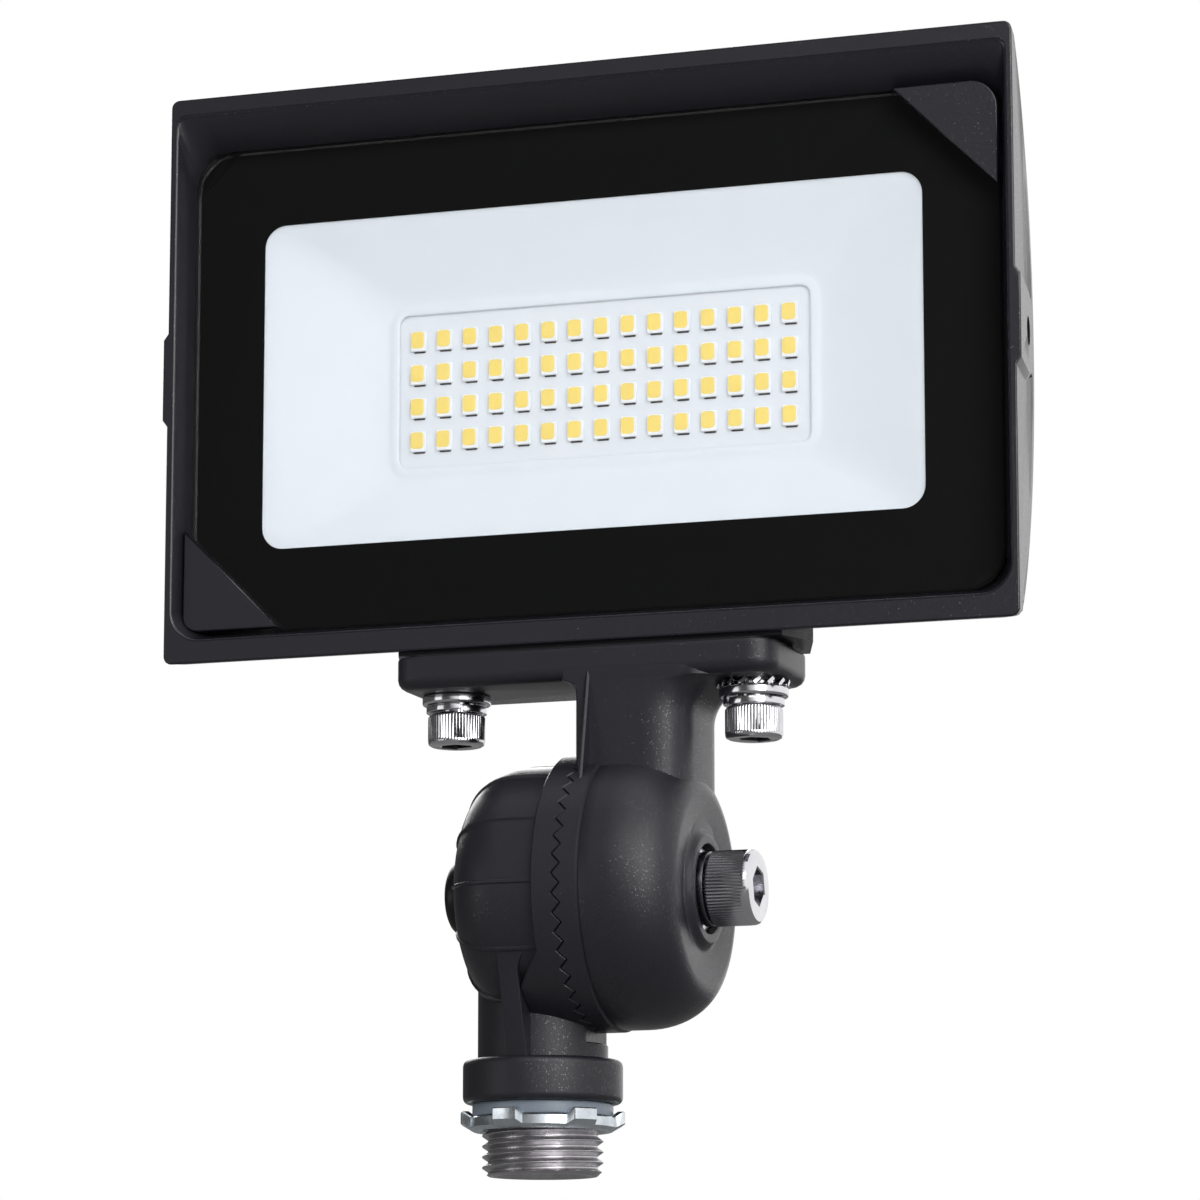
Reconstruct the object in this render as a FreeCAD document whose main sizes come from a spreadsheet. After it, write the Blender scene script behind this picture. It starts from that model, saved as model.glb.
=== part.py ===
import FreeCAD, Part
import math
import os
import Sketcher

# LED flood light: a finned head on a toothed knuckle with a conduit nipple.
# Millimetres. +Z is up along the nipple, the lit face looks along -Y, +X is the viewer's right.
# The origin is the centre of the nipple's free end.

DIMENSIONS = [
    # conduit nipple, locknut and sealing ring
    ("nipple_r", 10.4, "outside radius of the conduit thread"),
    ("nipple_relief_r", 9.8, "radius of the nipple above its free end"),
    ("nipple_bore_r", 7.9, "radius of the wire way in the nipple"),
    ("nipple_chamfer", 1.0, "chamfer at the free end"),
    ("nipple_free", 7.2, "length of the free end below the locknut"),
    ("nipple_seat", 5.0, "depth of the nipple in the collar"),
    ("seat_fit", 0.03, "radial clearance of the nipple in the collar"),
    ("thread_fit", 0.1, "radial clearance of the locknut on the thread"),
    ("nut_gap", 0.4, "height of the locknut above the free end"),
    ("nut_thick", 2.4, "thickness of the locknut's ring"),
    ("nut_ring_r", 12.9, "outside radius of the locknut's ring"),
    ("nut_lug_r", 14.3, "radius to the tips of the locknut's lugs"),
    ("nut_lug_width", 4.8, "width of one locknut lug"),
    ("nut_lug_rise", 1.1, "height of the bent lugs above the ring"),
    ("nut_lug_count", 6, "lugs on the locknut"),
    ("ring_thick", 2.3, "thickness of the sealing ring"),
    ("ring_r", 12.1, "outside radius of the sealing ring"),
    ("ring_fit", 0.2, "radial clearance of the sealing ring on the thread"),
    # both knuckle halves
    ("joint_x", 10.4, "distance from the nipple axis to the toothed face"),
    ("pivot_z", 48.3, "height of the pivot axis above the free end"),
    ("tooth_r", 24.0, "outside radius of the toothed ring"),
    ("tooth_in_r", 17.4, "inside radius of the toothed ring"),
    ("tooth_half", 0.75, "half the tooth height at the outside radius"),
    ("tooth_count", 45, "teeth in the ring"),
    ("tooth_gap", 0.15, "axial clearance between the toothed faces"),
    ("disc_gap", 0.6, "radial clearance round the toothed ring"),
    ("hub_r", 8.2, "radius of the hub inside each cup"),
    ("hub_gap", 0.6, "distance of each hub face from the joint plane"),
    ("bolt_fit", 0.08, "radial clearance of the pivot bolt in its bores"),
    # lower knuckle half
    ("collar_r", 13.75, "radius of the collar"),
    ("collar_height", 7.5, "height of the collar"),
    ("collar_break", 0.9, "edge break of the collar"),
    ("neck_r", 11.2, "radius of the lower neck"),
    ("band_width", 4.4, "width of the rim band of the lower cup"),
    ("cup_step", 1.8, "step from the toothed ring down to the lower cup"),
    ("cup_depth", 21.6, "depth of the lower cup from the joint plane"),
    ("cup_round", 9.5, "rounding of the lower cup's back edge"),
    ("chamber_depth", 12.0, "depth of the wire chamber in the lower cup"),
    ("way_r", 7.5, "radius of the wire way in the lower neck"),
    ("rib_count", 12, "thin ribs round the lower cup"),
    ("rib_width", 0.6, "width of a thin rib"),
    ("rib_height", 0.45, "height of a thin rib"),
    ("web_thick", 2.6, "thickness of the webs on both knuckle halves"),
    ("web_foot", 12.8, "reach of the lower web at the collar"),
    ("web_head", 18.6, "reach of the lower web at the cup"),
    ("web_head_drop", 12.5, "distance of the lower web's head below the pivot"),
    # upper knuckle half
    ("upper_depth", 19.0, "depth of the upper cup from the joint plane"),
    ("upper_band", 3.8, "width of the rim band of the upper cup"),
    ("upper_step", 0.3, "step from the toothed ring down to the upper cup"),
    ("upper_round", 8.0, "rounding of the upper cup's outer edge"),
    ("upper_chamber", 10.0, "depth of the wire chamber in the upper cup"),
    ("boss_r", 9.6, "radius of the hub boss"),
    ("boss_height", 0.6, "height of the hub boss"),
    ("recess_r", 7.6, "radius of the washer recess"),
    ("recess_depth", 2.8, "depth of the washer recess"),
    ("upper_neck_over", 0.6, "reach of the upper neck past the joint plane"),
    ("upper_neck_x", 18.5, "reach of the upper neck beyond the joint plane"),
    ("upper_neck_y", 12.0, "half the depth of the upper neck"),
    ("upper_neck_round", 6.0, "corner rounding of the upper neck"),
    ("flare_right", 2.2, "flare of the neck into the plate on the right"),
    ("flare_left", 2.2, "flare of the neck into the plate on the left"),
    ("flare_y", 8.0, "half the depth of the flares"),
    ("upper_web_reach", 16.0, "reach of the upper web at the band"),
    ("upper_web_drop", 17.0, "distance of the upper web's foot above the pivot"),
    ("slot_x", 9.0, "distance of the wire slot from the joint plane"),
    ("slot_half_x", 5.0, "half the width of the wire slot"),
    ("slot_half_y", 6.0, "half the depth of the wire slot"),
    ("slot_foot", 10.0, "height of the wire slot's foot above the pivot"),
    ("plate_drop", 35.5, "distance from the pivot axis to the plate's underside"),
    ("plate_thick", 5.6, "thickness of the plate"),
    ("plate_half_x", 34.5, "half the length of the plate"),
    ("plate_half_y", 12.0, "half the depth of the plate"),
    ("plate_corner", 5.0, "corner rounding of the plate"),
    ("plate_break", 1.2, "lower edge break of the plate"),
    # pivot bolt M8 and its hardware
    ("bolt_r", 4.0, "radius of the pivot bolt"),
    ("bolt_length", 45.0, "length of the pivot bolt under its head"),
    ("bolt_head_r", 6.5, "radius of the pivot bolt's head"),
    ("bolt_head", 8.0, "height of the pivot bolt's head"),
    ("bolt_socket", 6.0, "width across flats of the bolt's socket"),
    ("bolt_socket_depth", 4.0, "depth of the bolt's socket"),
    ("bolt_washer_r", 7.3, "radius of the pivot's flat washer"),
    ("bolt_washer", 1.6, "thickness of the pivot's flat washer"),
    ("bolt_spring_r", 6.4, "radius of the pivot's spring washer"),
    ("bolt_spring", 2.0, "thickness of the pivot's spring washer"),
    ("washer_fit", 0.2, "radial clearance of the washers on their bolts"),
    ("split_width", 0.8, "width of the split in the spring washers"),
    ("hex_nut", 13.0, "width across flats of the pivot nut"),
    ("hex_nut_height", 6.5, "height of the pivot nut"),
    ("hex_nut_fit", 0.1, "clearance of the pivot nut in its pocket, each side"),
    ("cap_flange_r", 7.8, "radius of the nut cap's flange"),
    ("cap_flange", 1.0, "thickness of the nut cap's flange"),
    ("cap_r", 6.15, "radius of the nut cap's dome"),
    ("cap_height", 5.2, "height of the nut cap above the cup"),
    ("cap_round", 2.2, "rounding of the nut cap"),
    ("cap_hole_r", 4.5, "radius of the hollow in the nut cap"),
    ("cap_wall", 1.6, "end wall of the nut cap"),
    ("cap_fit", 0.05, "radial clearance of the nut cap's flange"),
    # plate screws M6 and their washers
    ("screw_x", 27.2, "distance of a plate screw from the head's middle"),
    ("screw_r", 3.0, "radius of a plate screw"),
    ("screw_fit", 0.3, "radial clearance of a plate screw in the plate"),
    ("screw_length", 18.0, "length of a plate screw under its head"),
    ("screw_head_r", 5.0, "radius of a plate screw's head"),
    ("screw_head", 5.6, "height of a plate screw's head"),
    ("screw_socket", 5.0, "width across flats of a plate screw's socket"),
    ("screw_socket_depth", 2.8, "depth of a plate screw's socket"),
    ("screw_washer_r", 6.0, "radius of a plate screw's flat washer"),
    ("screw_washer", 1.6, "thickness of a plate screw's flat washer"),
    ("screw_spring_r", 5.3, "radius of a plate screw's spring washer"),
    ("screw_spring", 1.6, "thickness of a plate screw's spring washer"),
    ("star_r", 6.3, "radius to the tips of the tooth lock washer"),
    ("star_ring_r", 4.8, "radius of the tooth lock washer's ring"),
    ("star_thick", 0.7, "sheet thickness of the tooth lock washer"),
    ("star_height", 1.3, "height of the tooth lock washer over its twisted teeth"),
    ("star_tooth", 1.4, "width of one twisted tooth"),
    ("star_count", 16, "twisted teeth on the tooth lock washer"),
    ("thread_r", 2.55, "radius of a tapped M6 hole"),
    ("tap_relief", 3.05, "radius of the tapped hole where the plate screw sits"),
    # seal between plate and head
    ("seal_thick", 0.6, "thickness of the plate seal"),
    ("seal_inset", 2.0, "distance of the seal's edge inside the plate's edge"),
    # head
    ("frame_side", 3.05, "width of the head's frame beside the glass"),
    ("frame_top", 9.2, "height of the head's frame above the glass"),
    ("frame_bottom", 5.4, "height of the head's frame below the glass"),
    ("head_corner", 3.0, "corner radius of the head's front"),
    ("side_draft", 7.5, "draft of the head's sides in degrees"),
    ("rim_reach", 11.8, "distance of the rim's front from the pivot axis"),
    ("rim_lip", 2.0, "straight edge of the rim before the curved back"),
    ("back_bulge", 24.5, "rise of the side walls' curved back"),
    ("body_bulge", 18.0, "rise of the body's curved back between the side walls"),
    ("side_wall", 3.0, "thickness of the side walls behind the body"),
    ("core_inset", 2.2, "distance of the core's ends inside the head's sides"),
    ("core_top", 3.5, "distance of the core's edge inside the head's top and bottom"),
    ("core_edge", 10.5, "depth of the core at its top and bottom edges"),
    ("core_bulge", 10.0, "rise of the core's curved back"),
    ("rim_side", 1.4, "front width of the rim at the sides"),
    ("rim_top", 3.3, "front width of the rim at the top"),
    ("rim_bottom", 5.2, "front width of the rim at the bottom"),
    ("rim_corner", 5.5, "corner radius of the front opening"),
    ("fin_count", 15, "rear fins"),
    ("fin_pitch", 9.4, "spacing of the rear fins"),
    ("fin_thick", 2.2, "thickness of a rear fin"),
    ("fin_margin", 7.5, "distance of the fins' ends inside the head's top and bottom"),
    ("fin_root", 5.0, "depth where the fins are rooted"),
    ("fin_bulge", 25.0, "rise of the fins' curved back"),
    ("lug_half", 8.5, "half the width of a side lug"),
    ("lug_proud", 0.9, "height of a side lug above the rim's side"),
    ("lug_draft", 8.3, "draft of the side lugs' faces in degrees"),
    ("lug_hole_depth", 12.6, "distance of the lug hole behind the rim's front"),
    ("lug_thread", 7.5, "depth of the tapped hole in a side lug"),
    ("pedestal_half", 38.6, "half the width of the pedestal"),
    ("pedestal_front", 2.5, "distance of the pedestal behind the rim's front"),
    ("pedestal_back", 23.0, "depth of the pedestal's back"),
    ("pedestal_rise", 30.0, "height of the pedestal's root above the head's bottom"),
    ("pedestal_wall", 7.0, "height of the pedestal's upright back"),
    ("pedestal_top", 14.0, "depth of the pedestal at its root"),
    ("pedestal_bevel_x", 3.0, "length of the pedestal's end bevels"),
    ("pedestal_bevel_y", 8.5, "depth of the pedestal's end bevels"),
    ("pedestal_taper", 4.1, "narrowing of the pedestal's ends towards its back"),
    ("pad_lift", 0.4, "height of the head's bottom above the pedestal's foot"),
    ("pad_hole_depth", 12.5, "depth of the holes for the plate screws"),
    ("wire_hole_r", 5.0, "radius of the wire hole in the pedestal"),
    ("wire_hole_rise", 27.0, "height of the wire hole"),
    # glass, gasket and corner clamps
    ("glass_front", 4.0, "distance of the glass behind the rim's front"),
    ("glass_width", 149.0, "width of the glass"),
    ("glass_height", 88.0, "height of the glass"),
    ("glass_thick", 3.2, "thickness of the glass"),
    ("glass_corner", 8.0, "corner radius of the glass"),
    ("glass_bevel", 16.0, "cut corners of the glass under the clamps"),
    ("glass_fit", 0.2, "clearance round the glass"),
    ("print_thick", 0.15, "thickness of the printed border"),
    ("border_side", 13.65, "width of the printed border at the sides"),
    ("border_top", 14.55, "width of the printed border at the top and bottom"),
    ("window_corner", 4.0, "corner radius of the clear window"),
    ("gasket_thick", 1.2, "thickness of the glass gasket"),
    ("gasket_width", 3.0, "width of the glass gasket"),
    ("clamp_leg", 18.8, "leg of a corner clamp"),
    ("clamp_thick", 1.8, "thickness of a corner clamp"),
    ("clamp_round", 5.0, "outer corner radius of a clamp"),
    ("post_r", 2.2, "radius of a clamp's post"),
    ("post_inset", 5.5, "distance of a clamp's post from the glass edges"),
    ("post_seat", 3.0, "depth of a clamp's post in the housing"),
    ("post_fit", 0.05, "radial clearance of a clamp's post"),
    # light engine
    ("ledge_side", 6.0, "width of the glass ledge at the sides"),
    ("ledge_top", 4.5, "width of the glass ledge at the top and bottom"),
    ("cavity_corner", 6.0, "corner radius of the cavity"),
    ("floor_margin", 1.2, "margin of the cavity floor round the board"),
    ("board_half_x", 60.0, "half the width of the board"),
    ("board_half_z", 14.6, "half the height of the board"),
    ("board_front", 13.9, "distance of the board behind the rim's front"),
    ("board_thick", 1.6, "thickness of the board"),
    ("pad_thick", 0.4, "thickness of the thermal pad"),
    ("engine_drop", 0.75, "distance of the board's middle below the window's middle"),
    ("led_columns", 15, "LEDs in a row"),
    ("led_rows", 4, "rows of LEDs"),
    ("led_pitch_x", 4.92, "spacing of the LEDs along a row"),
    ("led_pitch_z", 6.08, "spacing of the rows"),
    ("led_width", 2.8, "width of an LED"),
    ("led_height", 3.5, "height of an LED"),
    ("led_thick", 0.7, "thickness of an LED"),
    ("phosphor_width", 2.2, "width of the phosphor"),
    ("phosphor_height", 2.8, "height of the phosphor"),
    ("phosphor_thick", 0.06, "thickness of the phosphor"),
    ("tray_gap_x", 1.5, "distance of the reflector's flange from the cavity's sides"),
    ("tray_gap_z", 3.0, "distance of the reflector's flange from the cavity's top and bottom"),
    ("tray_flange", 1.0, "thickness of the reflector's flange"),
    ("tray_wall", 1.2, "wall of the reflector"),
    ("lip_half_x", 38.1, "half the width of the reflector's opening"),
    ("lip_half_z", 13.9, "half the height of the reflector's opening"),
    ("lip_width", 1.5, "width of the lip round the opening"),
    ("lip_rise", 0.8, "height of the lip above the reflector's floor"),
    ("lip_corner", 3.0, "corner radius of the opening"),
    ("floor_thick", 1.0, "thickness of the reflector's floor on the board"),
    ("board_screw_side", 6.0, "distance of a board screw from the board's side edge"),
    ("board_screw_edge", 5.0, "distance of a board screw from the board's long edge"),
    ("board_screw_r", 1.45, "radius of a board screw"),
    ("board_screw_head_r", 2.75, "radius of a board screw's head"),
    ("board_screw_head", 1.7, "height of a board screw's head"),
    ("board_screw_length", 4.6, "length of a board screw under its head"),
    ("board_screw_fit", 0.05, "radial clearance of a board screw"),
    ("chip_side", 9.5, "distance of the chips from the board's side edge"),
    ("chip_width", 4.0, "width of a chip"),
    ("chip_height", 5.0, "height of a chip"),
    ("chip_thick", 1.4, "thickness of a chip"),
    ("chip_pitch", 7.0, "spacing of the chips"),
]

doc = FreeCAD.newDocument("FloodLight")
sheet = doc.addObject("Spreadsheet::Sheet", "Dims")
for row, (alias, number, meaning) in enumerate(DIMENSIONS, start=1):
    sheet.set(f"A{row}", meaning)
    sheet.set(f"B{row}", str(number))
    sheet.setAlias(f"B{row}", alias)
doc.recompute()


class Size:
    """A number together with the sheet formula that it follows."""

    def __init__(self, number, formula):
        self.number = number
        self.formula = formula

    def __add__(self, other):
        other = as_size(other)
        return Size(self.number + other.number, f"({self.formula} + {other.formula})")

    def __radd__(self, other):
        return as_size(other) + self

    def __sub__(self, other):
        other = as_size(other)
        return Size(self.number - other.number, f"({self.formula} - {other.formula})")

    def __rsub__(self, other):
        return as_size(other) - self

    def __mul__(self, other):
        other = as_size(other)
        return Size(self.number * other.number, f"({self.formula} * {other.formula})")

    def __rmul__(self, other):
        return as_size(other) * self

    def __truediv__(self, other):
        other = as_size(other)
        return Size(self.number / other.number, f"({self.formula} / {other.formula})")

    def __rtruediv__(self, other):
        return as_size(other) / self

    def __neg__(self):
        return Size(-self.number, f"(0 - {self.formula})")


def as_size(value):
    """Turn a plain number into a Size, and leave a Size as it is."""
    if isinstance(value, Size):
        return value
    return Size(value, f"({value})")


def tangent(degrees):
    """Tangent of an angle in degrees."""
    angle = as_size(degrees)
    return Size(math.tan(math.radians(angle.number)), f"tan({angle.formula} * 1 deg)")


def cosine(degrees):
    """Cosine of an angle in degrees."""
    angle = as_size(degrees)
    return Size(math.cos(math.radians(angle.number)), f"cos({angle.formula} * 1 deg)")


def sine(degrees):
    """Sine of an angle in degrees."""
    angle = as_size(degrees)
    return Size(math.sin(math.radians(angle.number)), f"sin({angle.formula} * 1 deg)")


class Sheet:
    """The sheet's cells as attributes, each one a Size."""


d = Sheet()
for alias, number, meaning in DIMENSIONS:
    setattr(d, alias, Size(number, f"Dims.{alias}"))


def bind(target, path, value):
    """Tie a property of an object to a formula of the sheet."""
    target.setExpression(path, as_size(value).formula)


def origin_feature(body, role):
    """One of the body's own planes or axes."""
    return next(item for item in body.Origin.OriginFeatures if item.Role == role)


def new_body(name, at=(0, 0, 0)):
    """An empty body whose local origin stands at the given point."""
    body = doc.addObject("PartDesign::Body", name)
    body.Label = name
    for axis, value in zip("xyz", at):
        bind(body, f"Placement.Base.{axis}", value)
    return body


def arc_between(start, end, radius, turn):
    """Minor arc from start to end, counter-clockwise for turn 1 and clockwise for turn -1."""
    chord = end - start
    half = chord.Length / 2
    rise = math.sqrt(max(radius * radius - half * half, 0))
    left = FreeCAD.Vector(-chord.y, chord.x, 0).normalize()
    centre = (start + end) / 2 + left * (rise * turn)
    first, last = (start, end) if turn > 0 else (end, start)
    angles = [math.atan2(p.y - centre.y, p.x - centre.x) for p in (first, last)]
    circle = Part.Circle(centre, FreeCAD.Vector(0, 0, 1), radius)
    return Part.ArcOfCircle(circle, angles[0], angles[1])


def draw_circle(drawing, across, up, radius):
    """Add a circle whose centre and radius follow the sheet."""
    across, up, radius = as_size(across), as_size(up), as_size(radius)
    centre = FreeCAD.Vector(across.number, up.number, 0)
    edge = drawing.addGeometry(Part.Circle(centre, FreeCAD.Vector(0, 0, 1), radius.number), False)
    first = drawing.ConstraintCount
    drawing.addConstraint([
        Sketcher.Constraint("DistanceX", -1, 1, edge, 3, across.number),
        Sketcher.Constraint("DistanceY", -1, 1, edge, 3, up.number),
        Sketcher.Constraint("Radius", edge, radius.number),
    ])
    for step, size in enumerate((across, up, radius)):
        bind(drawing, f"Constraints[{first + step}]", size)


def draw_loop(drawing, corners):
    """Add a closed loop; a corner is (across, up) or (across, up, radius, turn) where an arc leaves it."""
    places = [(as_size(corner[0]), as_size(corner[1])) for corner in corners]
    points = [FreeCAD.Vector(across.number, up.number, 0) for across, up in places]
    total = len(corners)
    edges = []
    ends = []
    for index, corner in enumerate(corners):
        start = points[index]
        end = points[(index + 1) % total]
        if len(corner) == 4:
            edges.append(arc_between(start, end, as_size(corner[2]).number, corner[3]))
            ends.append((1, 2) if corner[3] > 0 else (2, 1))
        else:
            edges.append(Part.LineSegment(start, end))
            ends.append((1, 2))
    numbers = drawing.addGeometry(edges, False)
    constraints = []
    formulas = []
    for index, (across, up) in enumerate(places):
        edge = numbers[index]
        following = (index + 1) % total
        tail, head = ends[index]
        start_of_next = ends[following][0]
        constraints.append(Sketcher.Constraint("Coincident", edge, head, numbers[following], start_of_next))
        formulas.append(None)
        constraints.append(Sketcher.Constraint("DistanceX", -1, 1, edge, tail, across.number))
        formulas.append(across)
        constraints.append(Sketcher.Constraint("DistanceY", -1, 1, edge, tail, up.number))
        formulas.append(up)
        if len(corners[index]) == 4:
            radius = as_size(corners[index][2])
            constraints.append(Sketcher.Constraint("Radius", edge, radius.number))
            formulas.append(radius)
    first = drawing.ConstraintCount
    drawing.addConstraint(constraints)
    for step, size in enumerate(formulas):
        if size is not None:
            bind(drawing, f"Constraints[{first + step}]", size)


def sketch(body, name, plane, loops, shift=0):
    """Closed loops on one of the body's planes, moved along the plane's axis by shift."""
    drawing = body.newObject("Sketcher::SketchObject", name)
    drawing.AttachmentSupport = [(origin_feature(body, plane), "")]
    drawing.MapMode = "FlatFace"
    along = -as_size(shift) if plane == "XZ_Plane" else as_size(shift)
    bind(drawing, "AttachmentOffset.Base.z", along)
    for loop in loops:
        if loop[0] == "circle":
            draw_circle(drawing, *loop[1:])
        else:
            draw_loop(drawing, loop)
    return drawing


def extrude(body, kind, drawing, length, toward, taper=None):
    """Pad or pocket along the positive (toward 1) or negative (toward -1) axis of the sketch's plane."""
    feature = body.newObject(f"PartDesign::{kind}", f"{drawing.Name}_{kind}")
    feature.Profile = drawing
    bind(feature, "Length", length)
    plane = drawing.AttachmentSupport[0][0].Role
    natural = -1 if plane == "XZ_Plane" else 1
    if kind == "Pocket":
        natural = -natural
    feature.Reversed = toward != natural
    if taper is not None:
        bind(feature, "TaperAngle", taper)
    return feature


def turn_round(body, kind, drawing, axis):
    """Full Revolution or Groove of a sketch about its own H_Axis or V_Axis."""
    feature = body.newObject(f"PartDesign::{kind}", f"{drawing.Name}_{kind}")
    feature.Profile = drawing
    feature.ReferenceAxis = (drawing, [axis])
    feature.Angle = 360
    return feature


def loft(body, kind, first, last):
    """Straight-sided AdditiveLoft or SubtractiveLoft between two sketches."""
    feature = body.newObject(f"PartDesign::{kind}", f"{first.Name}_{kind}")
    feature.Profile = first
    feature.Sections = [last]
    feature.Ruled = True
    return feature


def ring_pattern(body, feature, axis, count):
    """Repeat a feature evenly round one of the body's axes."""
    pattern = body.newObject("PartDesign::PolarPattern", f"{feature.Name}_ring")
    pattern.Originals = [feature]
    pattern.Axis = (origin_feature(body, axis), [""])
    pattern.Angle = 360
    bind(pattern, "Occurrences", count)
    body.Tip = pattern
    return pattern


def row_pattern(body, feature, axis, count, pitch):
    """Repeat a feature along one of the body's axes."""
    pattern = body.newObject("PartDesign::LinearPattern", f"{feature.Name}_row")
    pattern.Originals = [feature]
    pattern.Direction = (origin_feature(body, axis), [""])
    bind(pattern, "Length", pitch * (count - 1))
    bind(pattern, "Occurrences", count)
    body.Tip = pattern
    return pattern


def break_edges(body, name, size, wanted):
    """Chamfer the edges of the body's last shape that the test picks."""
    doc.recompute()
    base = body.Tip
    picked = [f"Edge{i}" for i, edge in enumerate(base.Shape.Edges, start=1) if wanted(edge)]
    feature = body.newObject("PartDesign::Chamfer", name)
    feature.Base = (base, picked)
    bind(feature, "Size", size)
    return feature


def all_at(edge, axis, place):
    """True for an edge that lies wholly at this coordinate on the axis."""
    box = edge.BoundBox
    low, high = getattr(box, f"{axis.upper()}Min"), getattr(box, f"{axis.upper()}Max")
    number = as_size(place).number
    return abs(low - number) < 1e-3 and abs(high - number) < 1e-3


def rounded(left, low, right, high, radius):
    """Corners of an upright rectangle with four rounded corners."""
    return [
        (left + radius, low),
        (right - radius, low, radius, 1),
        (right, low + radius),
        (right, high - radius, radius, 1),
        (right - radius, high),
        (left + radius, high, radius, 1),
        (left, high - radius),
        (left, low + radius, radius, 1),
    ]


def centred(half_x, half_z, radius, middle=0):
    """Rounded rectangle about the vertical centre line."""
    middle = as_size(middle)
    return rounded(-half_x, middle - half_z, half_x, middle + half_z, radius)


def plain(left, low, right, high):
    """Corners of an upright rectangle."""
    return [(left, low), (right, low), (right, high), (left, high)]


def hexagon(flats):
    """Corners of a hexagon with a corner at the top."""
    tip = flats / (2 * cosine(30))
    side = flats / 2
    return [(0, tip), (-side, tip / 2), (-side, -tip / 2), (0, -tip), (side, -tip / 2), (side, tip / 2)]


def chords(across, up, radius, angles):
    """Points on a circle about (across, up) at the given angles in degrees."""
    return [(across + radius * cosine(angle), up + radius * sine(angle)) for angle in angles]


def bulge(depth, half, rise, steps):
    """Points of a parabola that rises over a chord, from its lower to its upper end."""
    places = [2 * step / steps - 1 for step in range(steps + 1)]
    return [(depth + rise * (1 - place * place), half * place) for place in places]


def rise_radius(half_chord, rise):
    """Radius of an arc over a chord with the given rise."""
    return (half_chord * half_chord + rise * rise) / (2 * rise)


# Flat faces along the curved backs of the core and the fins
BACK_STEPS = 8

# Shared places
NUT_Z = d.nipple_free + d.nut_gap
RING_Z = NUT_Z + d.nut_thick
COLLAR_Z = RING_Z + d.ring_thick
COLLAR_LOCAL = COLLAR_Z - d.pivot_z
UPPER_X = d.joint_x + d.tooth_gap
CUP_R = d.tooth_r - d.cup_step
UPPER_CUP_R = d.tooth_r - d.upper_step
LOWER_AT = (d.joint_x, 0, d.pivot_z)
UPPER_AT = (UPPER_X, 0, d.pivot_z)
PLATE_Z = d.pivot_z + d.plate_drop
SEAL_Z = PLATE_Z + d.plate_thick
PAD_Z = SEAL_Z + d.seal_thick
HEAD_WIDTH = d.glass_width + 2 * (d.glass_fit + d.frame_side)
HEAD_HEIGHT = d.glass_height + 2 * d.glass_fit + d.frame_top + d.frame_bottom
HEAD_Z = PAD_Z + d.pad_lift + HEAD_HEIGHT / 2
HEAD_AT = (UPPER_X, -d.rim_reach, HEAD_Z)
HEAD_BOTTOM = -HEAD_HEIGHT / 2
PAD_LOCAL = HEAD_BOTTOM - d.pad_lift
OPTIC_Z = (d.frame_bottom - d.frame_top) / 2
ENGINE_Z = OPTIC_Z - d.engine_drop
WINDOW_X = d.glass_width / 2 - d.border_side
WINDOW_Z = d.glass_height / 2 - d.border_top
CAVITY_X = d.glass_width / 2 - d.ledge_side
CAVITY_Z = d.glass_height / 2 - d.ledge_top
GLASS_BACK = d.glass_front + d.glass_thick
PRINT_BACK = GLASS_BACK + d.print_thick
LEDGE = PRINT_BACK + d.gasket_thick
FLOOR = d.board_front + d.board_thick + d.pad_thick
NUT_FLOOR = d.cup_depth - d.cap_flange - d.hex_nut_height
BEARING = d.upper_depth + d.boss_height - d.recess_depth


def make_conduit_nipple():
    """Bare tube: a chamfered free end and a slightly smaller seat in the collar."""
    body = new_body("conduit_nipple")
    top = COLLAR_Z + d.nipple_seat
    profile = [
        (d.nipple_bore_r, 0),
        (d.nipple_r - d.nipple_chamfer, 0),
        (d.nipple_r, d.nipple_chamfer),
        (d.nipple_r, d.nipple_free),
        (d.nipple_relief_r, d.nipple_free),
        (d.nipple_relief_r, top),
        (d.nipple_bore_r, top),
    ]
    turn_round(body, "Revolution", sketch(body, "nipple_profile", "XZ_Plane", [profile]), "V_Axis")
    return body


def make_sealing_ring():
    """Flat ring between the collar and the locknut."""
    body = new_body("sealing_ring")
    loops = [("circle", 0, 0, d.ring_r), ("circle", 0, 0, d.nipple_r + d.ring_fit)]
    extrude(body, "Pad", sketch(body, "ring_outline", "XY_Plane", loops, RING_Z), d.ring_thick, 1)
    return body


def make_locknut():
    """Stamped ring whose lugs are bent up round the sealing ring."""
    body = new_body("locknut")
    loops = [("circle", 0, 0, d.nut_ring_r), ("circle", 0, 0, d.nipple_r + d.thread_fit)]
    extrude(body, "Pad", sketch(body, "nut_ring", "XY_Plane", loops, NUT_Z), d.nut_thick, 1)
    inner = d.ring_r + 2 * d.ring_fit
    half = d.nut_lug_width / 2
    outline = plain(inner, -half, d.nut_lug_r, half)
    foot = d.nut_thick / 3
    lug = extrude(body, "Pad", sketch(body, "nut_lug", "XY_Plane", [outline], NUT_Z + foot),
                  d.nut_thick - foot + d.nut_lug_rise, 1)
    ring_pattern(body, lug, "Z_Axis", d.nut_lug_count)
    return body


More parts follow.
